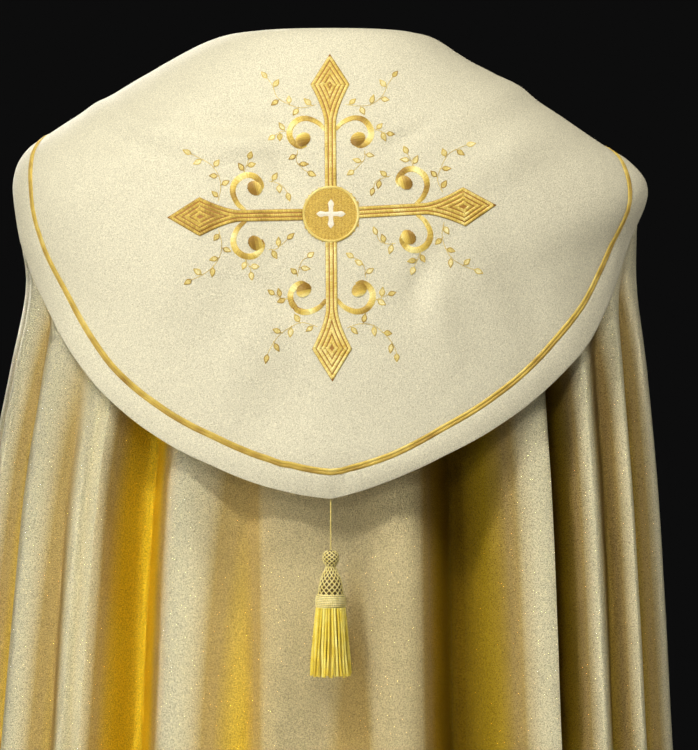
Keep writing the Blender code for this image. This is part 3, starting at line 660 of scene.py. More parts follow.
def cloakColumn(column, ring):
    # Points of the cloak's outside down one column, how much painted fold light they take by their depth in a fold and
    # in the painted tan band, and how much painted shade darkens them where the fold is closed.
    folds = cloakSet["folds"]
    number = min(int(column), len(folds) - 1)
    until, starts, middle, hem, leans, broad, fromFirst, toLast, closed = folds[number]
    part = column - number
    gap = alongRings("gap", ring)
    first = math.radians(folds[number - 1][0]) if number else turnAt(gap, ring, "left")
    last = -turnAt(gap, ring, "right") if until is None else math.radians(until)
    sag = ((1 - math.cos(2 * math.pi * part)) / 2) ** (fromFirst if part < 0.5 else toLast)
    sway = part + broad * math.sin(2 * math.pi * part) / (2 * math.pi)
    full, hemRing = envelopeSet["fullFoldRing"], len(envelopeSet["rings"]) - 1
    depth = middle * easeIn((ring - starts) / (full - starts))
    depth = depth + (hem - middle) * np.clip((ring - full) / (hemRing - full), 0, 1)
    lean = leans * sag * np.clip(depth / middle, 0, 1)
    turn = first + (last - first) * (sway + lean)
    points = envelope(turn, ring)
    points[:, :2] *= (1 - sunkUnder(ring) / np.hypot(points[:, 0], points[:, 1]))[:, None]
    points[:, :2] -= levelNormals(turn, ring) * (depth * sag)[:, None]
    # Painted fold light by depth: tan shade on the flanks and yellow reflected light deep down, and a painted band of
    # tan shade across the middle of the back.
    hollow = easeIn(depth * sag / cloakSet["paintedLightDepth"])
    hollow = np.maximum(hollow, np.interp(points[:, 0], *zip(*cloakSet["paintedTanBand"])) * (points[:, 1] > 0))
    # Painted dark shade where the fold is closed.
    return points, hollow, closed * easeIn(depth / middle) * sag**1.1


def unrest(points):
    # A little unevenness, longer down the cloth than across it.
    waves = np.array([noise.noise(Vector(p * cloakSet["waves"])) for p in points.reshape(-1, 3)])
    return waves.reshape(points.shape[:-1]) * cloakSet["unrest"]


def makeCloak():
    steps, middle, hem = cloakSet["columnsPerFold"], envelopeSet["fullFoldRing"], len(envelopeSet["rings"]) - 1
    columns = [i / steps for i in range(len(cloakSet["folds"]) * steps + 1)]
    rings = np.concatenate(
        (np.linspace(0, middle, cloakSet["upperRows"]), np.linspace(middle, hem, cloakSet["lowerRows"])[1:])
    )
    strips = zip(*(cloakColumn(column, rings) for column in columns))
    outer, hollow, closed = (np.stack(kind, axis=1) for kind in strips)
    moved = unrest(outer) - cloakSet["unrest"] * 0.5
    start, full = cloakSet["unrestRings"]
    outer += outward(outer) * (moved * easeIn((rings - start) / (full - start))[:, None])[..., None]
    along = unit(np.gradient(outer, axis=1))
    left, right = (round(seam * steps) for seam in cloakSet["sideSeams"])
    shares = (
        ("gold_cloak_front_left", "cope_front_left", 0, left),
        ("gold_cloak_back", "cope_back", left, right),
        ("gold_cloak_front_right", "cope_front_right", right, len(columns) - 1),
    )
    cloakPanels = {}
    for name, node, first, last in shares:
        taken = slice(first, last + 1)
        panel = outer[:, taken].copy()
        for at, column, inwards in ((0, first, 1), (-1, last, -1)):
            if column not in (0, len(columns) - 1):
                panel[:, at] += along[:, column] * inwards * cloakSet["seamGap"] / 2
        piece = gridMesh(name, panel, "copeGold", hollow=hollow[:, taken], closed=closed[:, taken])
        giveWall(piece, cloakSet["wall"], False, cloakSet["edge"])
        finishPiece(piece, "cope_gold", node)
        cloakPanels[node] = piece
    return cloakPanels, outer


hoodSet = {
    "wall": 0.0025,
    "frontTurn": math.radians(150),
    "columns": 200,
    "columnSpread": 0.25,  # how much closer the columns lie at the middle of the back
    "rows": 84,
    "borderRows": 10,
    "rowSpread": 1.4,
    "braidWide": 0.0048,
    "neckLift": 0.0008,
    "shoulderLift": 0.003,
    "tipLift": 0.017,
    "liftStarts": 0.17,
    "liftLength": 0.27,
    "neckEase": (0.05, 0.06),  # how far from the neck the lift and the creases reach their full height
    "edge": 0.001,
    "border": 0.0009,  # the turned border is this much thicker
    "drawnIn": 0.0004,  # and the braid pulls the cloth in by this
    # How far the edge and the braid lie from the neckline at each turn: turn, left, right, left braid, right braid.
    "outline": np.array((
        (0, 0.460, 0.460, 0.436, 0.436),
        (8, 0.452, 0.445, 0.427, 0.423),
        (16, 0.441, 0.431, 0.415, 0.406),
        (26, 0.428, 0.416, 0.401, 0.388),
        (38, 0.408, 0.396, 0.379, 0.364),
        (49, 0.385, 0.375, 0.348, 0.337),
        (58, 0.363, 0.346, 0.306, 0.300),
        (67, 0.335, 0.307, 0.254, 0.256),
        (77, 0.278, 0.274, 0.228, 0.230),
        (90, 0.238, 0.237, 0.209, 0.208),
        (105, 0.205, 0.204, 0.178, 0.177),
        (122, 0.160, 0.160, 0.134, 0.134),
        (138, 0.110, 0.110, 0.085, 0.085),
        (150, 0.068, 0.068, 0.044, 0.044),
    )),
    # Soft creases seen from behind: x, z, which way they run, half length, half width and height.
    "creases": (
        (0.092, -0.268, 118, 0.075, 0.026, -0.0042),
        (0.056, -0.350, 118, 0.060, 0.034, -0.0050),
        (0.000, -0.405, 0, 0.120, 0.028, 0.0036),
        (0.150, -0.235, 118, 0.070, 0.024, 0.0030),
        (-0.178, -0.256, 65, 0.055, 0.022, -0.0040),
        (-0.100, -0.262, 80, 0.045, 0.016, 0.0034),
        (-0.168, -0.118, 150, 0.045, 0.020, 0.0040),
        (0.083, -0.093, 5, 0.050, 0.009, -0.0034),
        (0.100, -0.110, 12, 0.055, 0.009, 0.0024),
        (0.190, -0.085, 25, 0.060, 0.010, 0.0028),
        (0.170, -0.120, 20, 0.055, 0.010, -0.0038),
        (0.130, -0.135, 15, 0.040, 0.008, 0.0025),
        (0.045, -0.130, 60, 0.035, 0.014, -0.0050),
        (0.050, -0.240, 70, 0.035, 0.012, -0.0038),
        (0.040, -0.262, 40, 0.030, 0.014, -0.0032),
        (-0.085, -0.235, 115, 0.035, 0.014, -0.0042),
        (-0.070, -0.105, 150, 0.022, 0.007, -0.0028),
        (-0.165, -0.060, 150, 0.060, 0.016, 0.0028),
        (0.159, -0.102, 143, 0.110, 0.018, 0.0046),
        (0.083, -0.114, -8, 0.055, 0.011, 0.0036),
        (0.047, -0.412, 62, 0.018, 0.006, -0.0026),
        (0.034, -0.417, 62, 0.016, 0.005, 0.0018),
        (-0.003, -0.426, 90, 0.015, 0.0035, 0.0030),
        (-0.010, -0.426, 90, 0.015, 0.0035, -0.0034),
    ),
    "pucker": 0.00035,
    "puckerScale": 55,
    "measured": (12.5, 400),  # down to which ring its cloth is measured, and in how many steps
    "cut": (0.80, 0.60, 0.292),  # its greatest width, its length and its flat area
}


def hoodReach(turn):
    table = hoodSet["outline"]
    at = np.interp(abs(math.degrees(turn)), table[:, 0], range(len(table)))
    return [float(smoothSteps(table[:, column], at)) for column in ((1, 3) if turn > 0 else (2, 4))]


def ringsAt(turn, lengths):
    # The rings that lie these lengths down the envelope from the neckline.
    rings = np.linspace(0, *hoodSet["measured"])
    steps = np.linalg.norm(np.diff(envelope(turn, rings), axis=0), axis=1)
    return np.interp(lengths, np.concatenate(([0], np.cumsum(steps))), rings)


def creased(points):
    # The height of the hood's soft creases and of the slight pucker in its cloth.
    x, z = points[..., 0], points[..., 2]
    height = np.zeros(x.shape)
    for cx, cz, way, long, wide, rise in hoodSet["creases"]:
        c, s = math.cos(math.radians(way)), math.sin(math.radians(way))
        along, across = (x - cx) * c + (z - cz) * s, (z - cz) * c - (x - cx) * s
        height += rise * np.exp(-((along / long) ** 2) - (across / wide) ** 2)
    height *= points[..., 1] > 0
    pucker = [noise.noise(Vector(p) * hoodSet["puckerScale"]) for p in points.reshape(-1, 3)]
    return height + np.array(pucker).reshape(x.shape) * hoodSet["pucker"]


def hoodGrid():
    # The hood's inner face, from the neckline to the outline.
    even = np.linspace(-1, 1, hoodSet["columns"] + 1)
    closer = hoodSet["columnSpread"]
    turns = hoodSet["frontTurn"] * ((1 - closer) * even + closer * even**3)
    rows = hoodSet["rows"]
    shares = (np.arange(rows + 1) / rows) ** hoodSet["rowSpread"]
    border = np.linspace(0, 1, hoodSet["borderRows"] + 1)
    columns, lengths = [], []
    for turn in turns:
        edge, braidAt = hoodReach(turn)
        top, bottom = braidAt - hoodSet["braidWide"] / 2, braidAt + hoodSet["braidWide"] / 2
        down = np.concatenate((top * shares, [braidAt], bottom + (edge - bottom) * border))
        columns.append(envelope(turn, ringsAt(turn, down)))
        lengths.append(down)
    grid, lengths = np.stack(columns, axis=1), np.array(lengths).T
    liftEase, creaseEase = hoodSet["neckEase"]
    lift = hoodSet["neckLift"] + (hoodSet["shoulderLift"] - hoodSet["neckLift"]) * easeIn(lengths / liftEase)
    behind = np.clip(np.cos(turns), 0, 1)
    more = easeIn((lengths - hoodSet["liftStarts"]) / hoodSet["liftLength"])
    lift = lift + (hoodSet["tipLift"] - hoodSet["shoulderLift"]) * behind * more
    under = grid + lift[..., None] * outward(grid)
    plump = np.zeros(len(lengths))
    plump[rows + 2 :] = hoodSet["border"] * np.sin(border * math.pi)
    plump[rows : rows + 3] -= hoodSet["drawnIn"]
    return under + ((creased(under) + plump[:, None]) * easeIn(lengths / creaseEase))[..., None] * outward(under)


def surfaceTree(grid):
    # A surface to drop the embroidery on.
    a, b, c, d = gridCorners(*grid.shape[:2])
    faces = np.concatenate([np.stack(corners, axis=-1).reshape(-1, 3) for corners in ((a, b, c), (a, c, d))])
    return BVHTree.FromPolygons([Vector(p) for p in grid.reshape(-1, 3)], faces.tolist())


def makeHood():
    under = hoodGrid()
    hood = gridMesh("ivory_hood", under, "hoodIvory")
    giveWall(hood, hoodSet["wall"], True, hoodSet["edge"])
    finishPiece(hood, "hood_ivory", "hood")
    return under + hoodSet["wall"] * outward(under)


braidSet = {
    "half": 0.0029, "crown": 0.0008, "lift": 0.0004, "shades": (0.28, 0.46),
    "lay": {"spacing": 0.00078, "thread": 0.0009, "turned": 0.35},
}


def makeBraid(over):
    # Two rows of satin side by side, along the hood's own row of points.
    row, half = hoodSet["rows"] + 1, braidSet["half"] / 2
    ups = outward(over)[row]
    points = over[row] + ups * braidSet["lift"]
    beside = unit(np.cross(ups, np.gradient(points, axis=0))) * half
    rows = [
        {"points": points + beside * way, "ups": ups, "half": half, "crown": braidSet["crown"], "shade": shade}
        for way, shade in zip((1, -1), braidSet["shades"])
    ]
    finishPiece(laid("gold_braid", rows, "satinGold", **braidSet["lay"]), "gold_thread", "hood_braid")


crossSet = {
    "centre": (0.0, -0.177),  # x and z of the roundel's middle
    "rows": 3,  # cords of satin stitch side by side on the stem
    "stemHalf": 0.0056,
    "lozengeHalf": 0.0186,
    "lozengeWidest": 0.0305,  # from the point
    "lozengeNeck": 0.067,
    "lozengeCurve": 1.5,
    "start": 0.98,  # of the roundel's radius
    "steps": 260,
    "fewest": 4,  # a row needs more steps than this
    "pointLonger": 0.0014,  # so that the corner of the outer row reaches the point
    "groove": 0.0008,
    "narrowest": 0.0003,
    "crown": 0.0007,
    "ground": 0.0004,
    "lay": {"spacing": 0.0007, "thread": 0.0008, "turned": 0.25, "uneven": 0.06, "mottle": 0.16},
    # Each arm: where its point is turned to, its length and its tone.
    "arms": {
        "up": (0.5, 0.1515, 0.58), "left": (91.0, 0.150, 0.34),
        "down": (180.5, 0.153, 0.66), "right": (273.4, 0.152, 0.5),
    },
}


def aboutCross(along, across, turned):
    # Points of one arm as x and z, turned about the roundel's middle: 0 is the arm that points up.
    c, s = math.cos(turned), math.sin(turned)
    along, across = np.broadcast_arrays(np.asarray(along, float), np.asarray(across, float))
    x, z = crossSet["centre"]
    return np.stack((x + along * s + across * c, z + along * c - across * s), axis=-1)


def onHood(flat, lift=0.0):
    # Points given by x and z, dropped on the back of the hood, and the hood's normals there.
    points, ups = np.empty((*flat.shape[:-1], 3)), np.empty((*flat.shape[:-1], 3))
    for at in np.ndindex(*flat.shape[:-1]):
        spot, normal, _, _ = hoodTree.ray_cast(Vector((flat[at][0], 1, flat[at][1])), Vector((0, -1, 0)))
        ups[at] = normal if normal.y > 0 else -normal
        points[at] = Vector(spot) + Vector(ups[at]) * lift
    return points, ups


def stitchLine(along, across, turned, half, crown, shade, lift):
    points, ups = onHood(aboutCross(along, across, turned), lift)
    return {"points": points, "ups": ups, "half": half, "crown": crown, "shade": shade}


def groundOf(flat, thick):
    # The dark ground under a figure, which shows between its rows.
    ground = gridMesh("ground", onHood(flat, 0.0001)[0], "couchBrown")
    wall = ground.modifiers.new("wall", "SOLIDIFY")
    wall.thickness, wall.offset = thick, 1
    return baked(ground)


def armHalf(fromPoint):
    # Half an arm's width at each distance from its point: a stem that ends in a lozenge.
    stem, most = crossSet["stemHalf"], crossSet["lozengeHalf"]
    widest, neck = crossSet["lozengeWidest"], crossSet["lozengeNeck"]
    near = most * np.maximum(fromPoint / widest, 0.02)
    far = stem + (most - stem) * np.maximum((neck - fromPoint) / (neck - widest), 0) ** crossSet["lozengeCurve"]
    return np.where(fromPoint <= widest, near, far)


def runsOf(kept):
    # The stretches of true values, each as its first number and the one after its last.
    edges = np.flatnonzero(np.diff(np.concatenate(([0], kept.astype(int), [0]))))
    return zip(edges[::2], edges[1::2])


def makeArm(name, pointsTo, length, tone):
    # Rows of satin one inside the other, and the ground between them filled along the arm's middle.
    turned, least = math.radians(pointsTo), crossSet["narrowest"]
    length += crossSet["pointLonger"]
    along = np.linspace(roundelSet["radius"] * crossSet["start"], length, crossSet["steps"])
    wide = armHalf(length - along)
    slant = np.sqrt(1 + np.gradient(wide, along) ** 2)
    pitch = 2 * crossSet["stemHalf"] / crossSet["rows"]
    half = (pitch - crossSet["groove"]) / 2
    rows, inside = [], wide - 0.5 * pitch * slant
    kept = inside > 0
    while kept.sum() > crossSet["fewest"]:
        way = np.concatenate((along[kept], along[kept][::-1]))
        off = np.concatenate((inside[kept], -inside[kept][::-1]))
        if rows:
            way, off = np.append(way, way[0]), np.append(off, off[0])
        rows.append((way, off, half))
        deeper = inside - pitch * slant
        bare = inside - (half + crossSet["groove"]) * slant
        for first, end in runsOf(kept & (bare > least) & (deeper <= least)):
            if end - first >= crossSet["fewest"]:
                rows.append((along[first:end], 0, bare[first:end]))
        inside, kept = deeper, deeper > least
    lines = [
        stitchLine(way, off, turned, rowHalf, crossSet["crown"], tone, crossSet["ground"]) for way, off, rowHalf in rows
    ]
    stitches = laid("satin_arm_" + name, lines, "satinGold", **crossSet["lay"])
    flat = aboutCross(along[::6, None], (wide[::6, None] - least) * (-1, -0.5, 0, 0.5, 1), turned)
    arm = joinPieces("satin_arm_" + name, [stitches, groundOf(flat, crossSet["ground"])])
    finishPiece(arm, "gold_thread", "cross_arm_" + name)


# crown and lift are how far a thread stands up and how high it starts.
roundelSet = {
    "radius": 0.0262,
    "ground": 0.0006,
    "groundRadius": 0.97,
    "rings": 12,
    "turnSteps": 49,
    "columnHalf": 0.0015,
    "columnShort": 0.001,  # a column ends this far inside the rim
    "column": {"half": 0.0015 * 1.3, "crown": 0.0003, "shade": 0.5, "lift": 0.0006},
    "columnLay": {"spacing": 0.0006, "thread": 0.0007, "turned": 0.12, "uneven": 0.12, "slip": 0.0004, "seed": 3},
    "rim": {"half": 0.0012, "crown": 0.0008, "shade": 0.7, "lift": 0.0007},
    "rimLay": {"spacing": 0.0006, "thread": 0.0007, "turned": 0.3},
    "crossReach": 0.0132,
    "crossHalf": ((0.0, 0.0020), (0.4, 0.0017), (0.72, 0.0026), (0.86, 0.0018), (1.0, 0.0002)),
    "cross": {"crown": 0.0005, "shade": 0.5, "lift": 0.0011},
    "crossLay": {"spacing": 0.0006, "thread": 0.0007, "uneven": 0.03},
}


def makeRoundel():
    radius, column = roundelSet["radius"], roundelSet["columnHalf"]
    turns = np.linspace(0, 2 * math.pi, roundelSet["turnSteps"])
    disc = radius * roundelSet["groundRadius"] * np.linspace(0.02, 1, roundelSet["rings"])[:, None]
    ground = groundOf(aboutCross(disc * np.cos(turns), disc * np.sin(turns), 0), roundelSet["ground"])
    columns = []
    for off in np.arange(-radius + 2 * column, radius - 0.002, 2 * column):
        end = math.sqrt(radius**2 - off**2) - roundelSet["columnShort"]
        columns.append(stitchLine(np.linspace(-end, end, 24), off, 0, **roundelSet["column"]))
    fill = laid("fill", columns, "roundelGold", **roundelSet["columnLay"])
    reach = radius - roundelSet["rim"]["half"]
    rimLine = stitchLine(reach * np.cos(turns), reach * np.sin(turns), 0, **roundelSet["rim"])
    rim = laid("rim", [rimLine], "satinGold", **roundelSet["rimLay"])
    shares = np.linspace(0, 1, 16)
    half, way = np.interp(shares, *zip(*roundelSet["crossHalf"])), roundelSet["crossReach"] * shares
    bars = [stitchLine(way, 0, math.radians(90 * turn), half, **roundelSet["cross"]) for turn in range(4)]
    ivoryCross = laid("ivoryCross", bars, "ivorySilk", **roundelSet["crossLay"])
    finishPiece(joinPieces("satin_roundel", [fill, rim, ivoryCross, ground]), "gold_thread", "cross_roundel")


scrollSet = {
    "crown": 0.16,  # how far its threads stand up for their length
    "lift": 0.0002,
    "ball": 0.0064,
    "ballAt": (0.0699, 0.0254),  # along the arm and across it
    "ballLift": 0.0005,
    "ballPaintedLight": (0.14, 0.55),  # its middle tone, and how far painted light makes it lighter to one side and painted shade darker to the other
    "lay": {"spacing": 0.0006, "thread": 0.0008, "turned": 0.2, "uneven": 0.03, "mottle": 0.1},
    # distance along the arm, distance across it, half its width
    "line": np.array((
        (0.0790, 0.0050, 0.0016),
        (0.0858, 0.0115, 0.0021),
        (0.0900, 0.0215, 0.0024),
        (0.0882, 0.0306, 0.0027),
        (0.0812, 0.0366, 0.0027),
        (0.0730, 0.0376, 0.0026),
        (0.0668, 0.0338, 0.0026),
        (0.0634, 0.0278, 0.0022),
        (0.0642, 0.0225, 0.0010),
    )),
    # Painted sheen along a scroll: its tone goes lighter and darker where the turning metal threads would catch the
    # light.
    "tones": (0.75, 0.4, 0.15, 0.55, 0.9, 0.45, 0.1, 0.3, 0.9),
    "toneStep": 7,  # how far the tones move on from one scroll to the next
    "toneLevel": 0.95,
    "steps": (60, 25),  # along the scroll and across its ball
    "groundHalf": 0.85,
}


def makeScrolls():
    steps, ballSteps = scrollSet["steps"]
    at = np.linspace(0, len(scrollSet["line"]) - 1, steps)
    along, across, half = (smoothSteps(scrollSet["line"][:, column], at) for column in range(3))
    tone = smoothSteps(scrollSet["tones"], at)
    run = np.hypot(np.gradient(along), np.gradient(across))
    besideAlong, besideAcross = -np.gradient(across) / run * half, np.gradient(along) / run * half
    ball, (ballAlong, ballAcross) = scrollSet["ball"], scrollSet["ballAt"]
    over, offsets = np.linspace(-1, 1, ballSteps), np.array((-1, 0, 1)) * scrollSet["groundHalf"]
    ballHalf = ball * np.sqrt(1 - (over * 0.995) ** 2)
    ballTone, ballPaintedSide = scrollSet["ballPaintedLight"]
    for number in range(8):
        mirror = -1 if number % 2 else 1
        turned = math.radians(list(crossSet["arms"].values())[number // 2][0])
        # The scroll's painted sheen, moved on for each scroll.
        moved = np.roll(tone, scrollSet["toneStep"] * (number % 3))
        shade = np.clip(moved * scrollSet["toneLevel"], 0, 1)
        # Painted light and shade on each ball: lighter to one side and darker to the other.
        lit = np.clip(ballTone + ballPaintedSide * over * (1 if number % 4 < 2 else -1), 0, 1)
        ballWay, ballOff = ballAlong + ball * over, ballAcross * mirror
        lines = [
            stitchLine(along, across * mirror, turned, half, half * scrollSet["crown"], shade, scrollSet["lift"]),
            stitchLine(ballWay, ballOff, turned, ballHalf, ballHalf * scrollSet["crown"], lit, scrollSet["ballLift"]),
        ]
        stitches = laid(f"satin_scroll_{number + 1}", lines, "satinGold", seed=number, **scrollSet["lay"])
        ways = along[::4, None] + besideAlong[::4, None] * offsets
        offs = (across[::4, None] + besideAcross[::4, None] * offsets) * mirror
        ground = groundOf(aboutCross(ways, offs, turned), scrollSet["lift"])
        finishPiece(joinPieces(stitches.name, [stitches, ground]), "gold_thread", f"scroll_{number + 1}")


spraySet = {
    "leaf": 0.0076,
    "leafHalf": 0.0021,
    "leafTones": (0.4, 0.6, 0.75, 0.9),
    "stalk": 0.0015,  # a leaf's distance from its stem
    "slant": 58.0,
    "leafRound": (0.75, 1.15),  # where a leaf is widest, and how pointed it is
    "leafOver": 0.0002,  # how far its threads reach over its edge
    "outlineTone": 0.55,
    "stemTones": (0.5, 0.4),  # of a stem and of a leaf's stalk
    "stem": {"half": 0.0009, "crown": 0.0002, "lift": 0.0001},
    "leafLine": {"crown": 0.00015, "lift": 0.0002},
    "outline": {"half": 0.00045, "crown": 0.00025, "lift": 0.0002},
    "unlike": (0.0008, 0.16),  # how far stems differ in place and leaves in slant
    "lengths": (0.88, 1.1),  # and leaves in length
    "widths": (0.9, 1.1),  # and in width
    "seed": 11,
    "leafLay": {"spacing": 0.0007, "thread": 0.0008, "turned": 0.3, "uneven": 0.05, "mottle": 0.15, "seed": 5},
    "outlineLay": {"spacing": 0.0009, "thread": 0.001, "turned": 0.4, "seed": 6},
    "stemLay": {"spacing": 0.0015, "thread": 0.0005, "turned": math.pi / 2},
    # Each spray: its stem along and across an arm, and how many leaves it has.
    "sprays": (
        (((0.103, 0.014), (0.1005, 0.026), (0.103, 0.038), (0.110, 0.048), (0.121, 0.055), (0.131, 0.060)), 6),
        (((0.079, 0.040), (0.077, 0.047), (0.074, 0.053)), 3),
        (((0.057, 0.031), (0.051, 0.031), (0.044, 0.027), (0.039, 0.020)), 3),
    ),
}


def makeSprays():
    # Sprays of leaves in each corner of the cross, the same in all eight but for small differences.
    chance = np.random.default_rng(spraySet["seed"])
    leaves, outlines, stems = [], [], []
    shares, (widest, pointed) = np.linspace(0, 1, 13), spraySet["leafRound"]
    placeUnlike, slantUnlike = spraySet["unlike"]
    stemTone, stalkTone = spraySet["stemTones"]
    sprays = [
        (math.radians(arm[0]), mirror, spray)
        for arm in crossSet["arms"].values() for mirror in (-1, 1) for spray in spraySet["sprays"]
    ]
    for turned, mirror, (stem, count) in sprays:
        stem = np.array(stem) + chance.normal(0, placeUnlike, (len(stem), 2))
        at = np.linspace(0, len(stem) - 1, 26)
        way, off = smoothSteps(stem[:, 0], at), smoothSteps(stem[:, 1], at)
        stems.append(stitchLine(way, off * mirror, turned, shade=stemTone, **spraySet["stem"]))
        for number in range(count):
            last = number == count - 1
            place = 24 if last else int(25 * (number + 0.35) / (count - 0.4))
            ahead = math.atan2(off[place + 1] - off[place - 1], way[place + 1] - way[place - 1]) if place else 1.6
            side = 0 if last else (1 if number % 2 else -1)
            lean = ahead + math.radians(side * spraySet["slant"]) + chance.normal(0, slantUnlike)
            c, s = math.cos(lean), math.sin(lean)
            steps = spraySet["stalk"] * (not last) + spraySet["leaf"] * chance.uniform(*spraySet["lengths"]) * shares
            shape = np.sin(math.pi * shares**widest) ** pointed * spraySet["leafHalf"]
            shape *= chance.uniform(*spraySet["widths"])
            tone = chance.choice(spraySet["leafTones"])
            ways, offs = way[place] + steps * c, off[place] + steps * s
            half = shape + spraySet["leafOver"]
            leaves.append(stitchLine(ways, offs * mirror, turned, half, shade=tone, **spraySet["leafLine"]))
            sides = np.concatenate((shape, -shape[::-1]))
            ways = np.concatenate((ways, ways[::-1])) - sides * s
            offs = np.concatenate((offs, offs[::-1])) + sides * c
            dark = tone * spraySet["outlineTone"]
            outlines.append(stitchLine(ways, offs * mirror, turned, shade=dark, **spraySet["outline"]))
            if not last:
                stalk = np.linspace(0, spraySet["stalk"] + 0.0004, 6)
                ways, offs = way[place] + stalk * c, off[place] + stalk * s
                stems.append(stitchLine(ways, offs * mirror, turned, shade=stalkTone, **spraySet["stem"]))
    parts = [
        laid("leaves", leaves, "leafPale", **spraySet["leafLay"]),
        laid("outlines", outlines, "satinGold", **spraySet["outlineLay"]),
        laid("stems", stems, "satinGold", **spraySet["stemLay"]),
    ]
    finishPiece(joinPieces("satin_leaves", parts), "gold_thread")


tasselSet = {
    "cord": {"yarn": 0.0015, "pitch": 0.0032, "step": 0.0004, "sides": 8},
    "cordLength": 0.0475,
    "cordPoints": 12,
    "cordGap": 0.0003,
    # Turned cores: radius, and height from the tassel's top.
    "knob": (
        (0, 0), (0.0038, -0.0006), (0.0066, -0.0036), (0.0073, -0.0074), (0.0062, -0.0114), (0.0042, -0.0142),
        (0, -0.0146),
    ),
    "bell": (
        (0, -0.0140), (0.0040, -0.0144), (0.0060, -0.0196), (0.0086, -0.0250), (0.0104, -0.0320),
        (0.0112, -0.0400), (0, -0.0402),
    ),
    "band": (
        (0, -0.0403), (0.0118, -0.0403), (0.0132, -0.0422), (0.0135, -0.0460), (0.0133, -0.0500),
        (0.0122, -0.0520), (0, -0.0520),
    ),
    "coreSteps": 36,
    "net": {"yarn": 0.0012, "pitch": 0.003, "step": 0.0009, "sides": 5},
    "netLift": 0.0001,
    "netStrands": {"knob": (9, 2.6), "bell": (13, 2.3)},  # strands each way, and how far round each goes
    "wrap": {"yarn": 0.0017, "pitch": 0.0035, "step": 0.0009, "sides": 6},
    "wrapClose": 0.92,  # a turn's height for the yarn's thickness
    "wrapSteps": 36,  # in one turn
    "tones": (0.4, 0.6, 0.7),  # of the cord, the net and the wrap
    "fringe": {"yarn": 0.0025, "pitch": 0.0052, "step": 0.0011, "sides": 5},
    "fringeTop": -0.052,
    "fringeLength": 0.0628,
    "fringeLengths": (0.95, 1.0),  # the shortest and the longest, for that length
    "fringeTones": (0.35, 0.75),
    "sway": (0.0006, 0.03),  # how far a yarn waves outwards, and round in radians
    "drift": 0.05,  # how far yarns drift round from their places
    # Rings of hanging yarns: radius, how many, and how far they splay.
    "fringeRings": ((0.0126, 32, 1.42), (0.0102, 26, 1.38), (0.0070, 16, 1.3), (0.0035, 8, 1.2)),
    "seed": 4,
}


def cordEnds():
    # Where the cord starts and ends, read from its plain solid.
    points = [v.co for v in bpy.data.objects["tassel_cord"].data.vertices]
    ends = []
    for height in (max(p.z for p in points), min(p.z for p in points)):
        near = [p for p in points if abs(p.z - height) < 0.001]
        ends.append(sum(near, Vector()) / len(near))
    return ends


def makeTasselCord():
    start, end = cordEnds()
    count = tasselSet["cordPoints"]
    path = [start.lerp(end, share) for share in np.linspace(0, 1, count)]
    line = {"points": np.array(path), "ups": [(1, 0, 0)] * count, "shade": tasselSet["tones"][0]}
    cord = yarned("tassel_thread", [line], "netCream", **tasselSet["cord"])
    finishPiece(cord, "tassel_gold", "tassel_cord")
    return cord, path


def turnedCore(part, top):
    # A turned solid with its seam and poles closed.
    form = bmesh.new()
    points = [form.verts.new((radius, 0, height)) for radius, height in tasselSet[part]]
    lines = [form.edges.new(pair) for pair in zip(points, points[1:])]
    bmesh.ops.spin(
        form, geom=points + lines, angle=2 * math.pi, steps=tasselSet["coreSteps"], axis=(0, 0, 1), cent=(0, 0, 0)
    )
    bmesh.ops.remove_doubles(form, verts=form.verts, dist=0.00002)
    bmesh.ops.recalc_face_normals(form, faces=form.faces)
    bmesh.ops.translate(form, verts=form.verts, vec=top)
    mesh = meshOf(part, form)
    mesh.shade_smooth()
    # The core's dark olive is painted shade between the net's strands and the wrap's turns.
    mesh.materials.append(bpy.data.materials["coreOlive"])
    return addObject(part, mesh)


def roundTassel(radius, angle, height, top, shade):
    # A line given by its radius, its angle and its height about the tassel's middle.
    heights = np.broadcast_to(height, np.shape(angle))
    points = np.stack((radius * np.cos(angle), radius * np.sin(angle), heights), axis=-1) + np.array(top)
    return {"points": points, "shade": shade}


def profileAt(part, shares, lift=0.0):
    # The radius and the height of a core at shares of the way down its side.
    radii, heights = zip(*tasselSet[part][1:-1])
    levels = heights[0] + (heights[-1] - heights[0]) * shares
    return np.interp(-levels, -np.array(heights), radii) + lift, levels


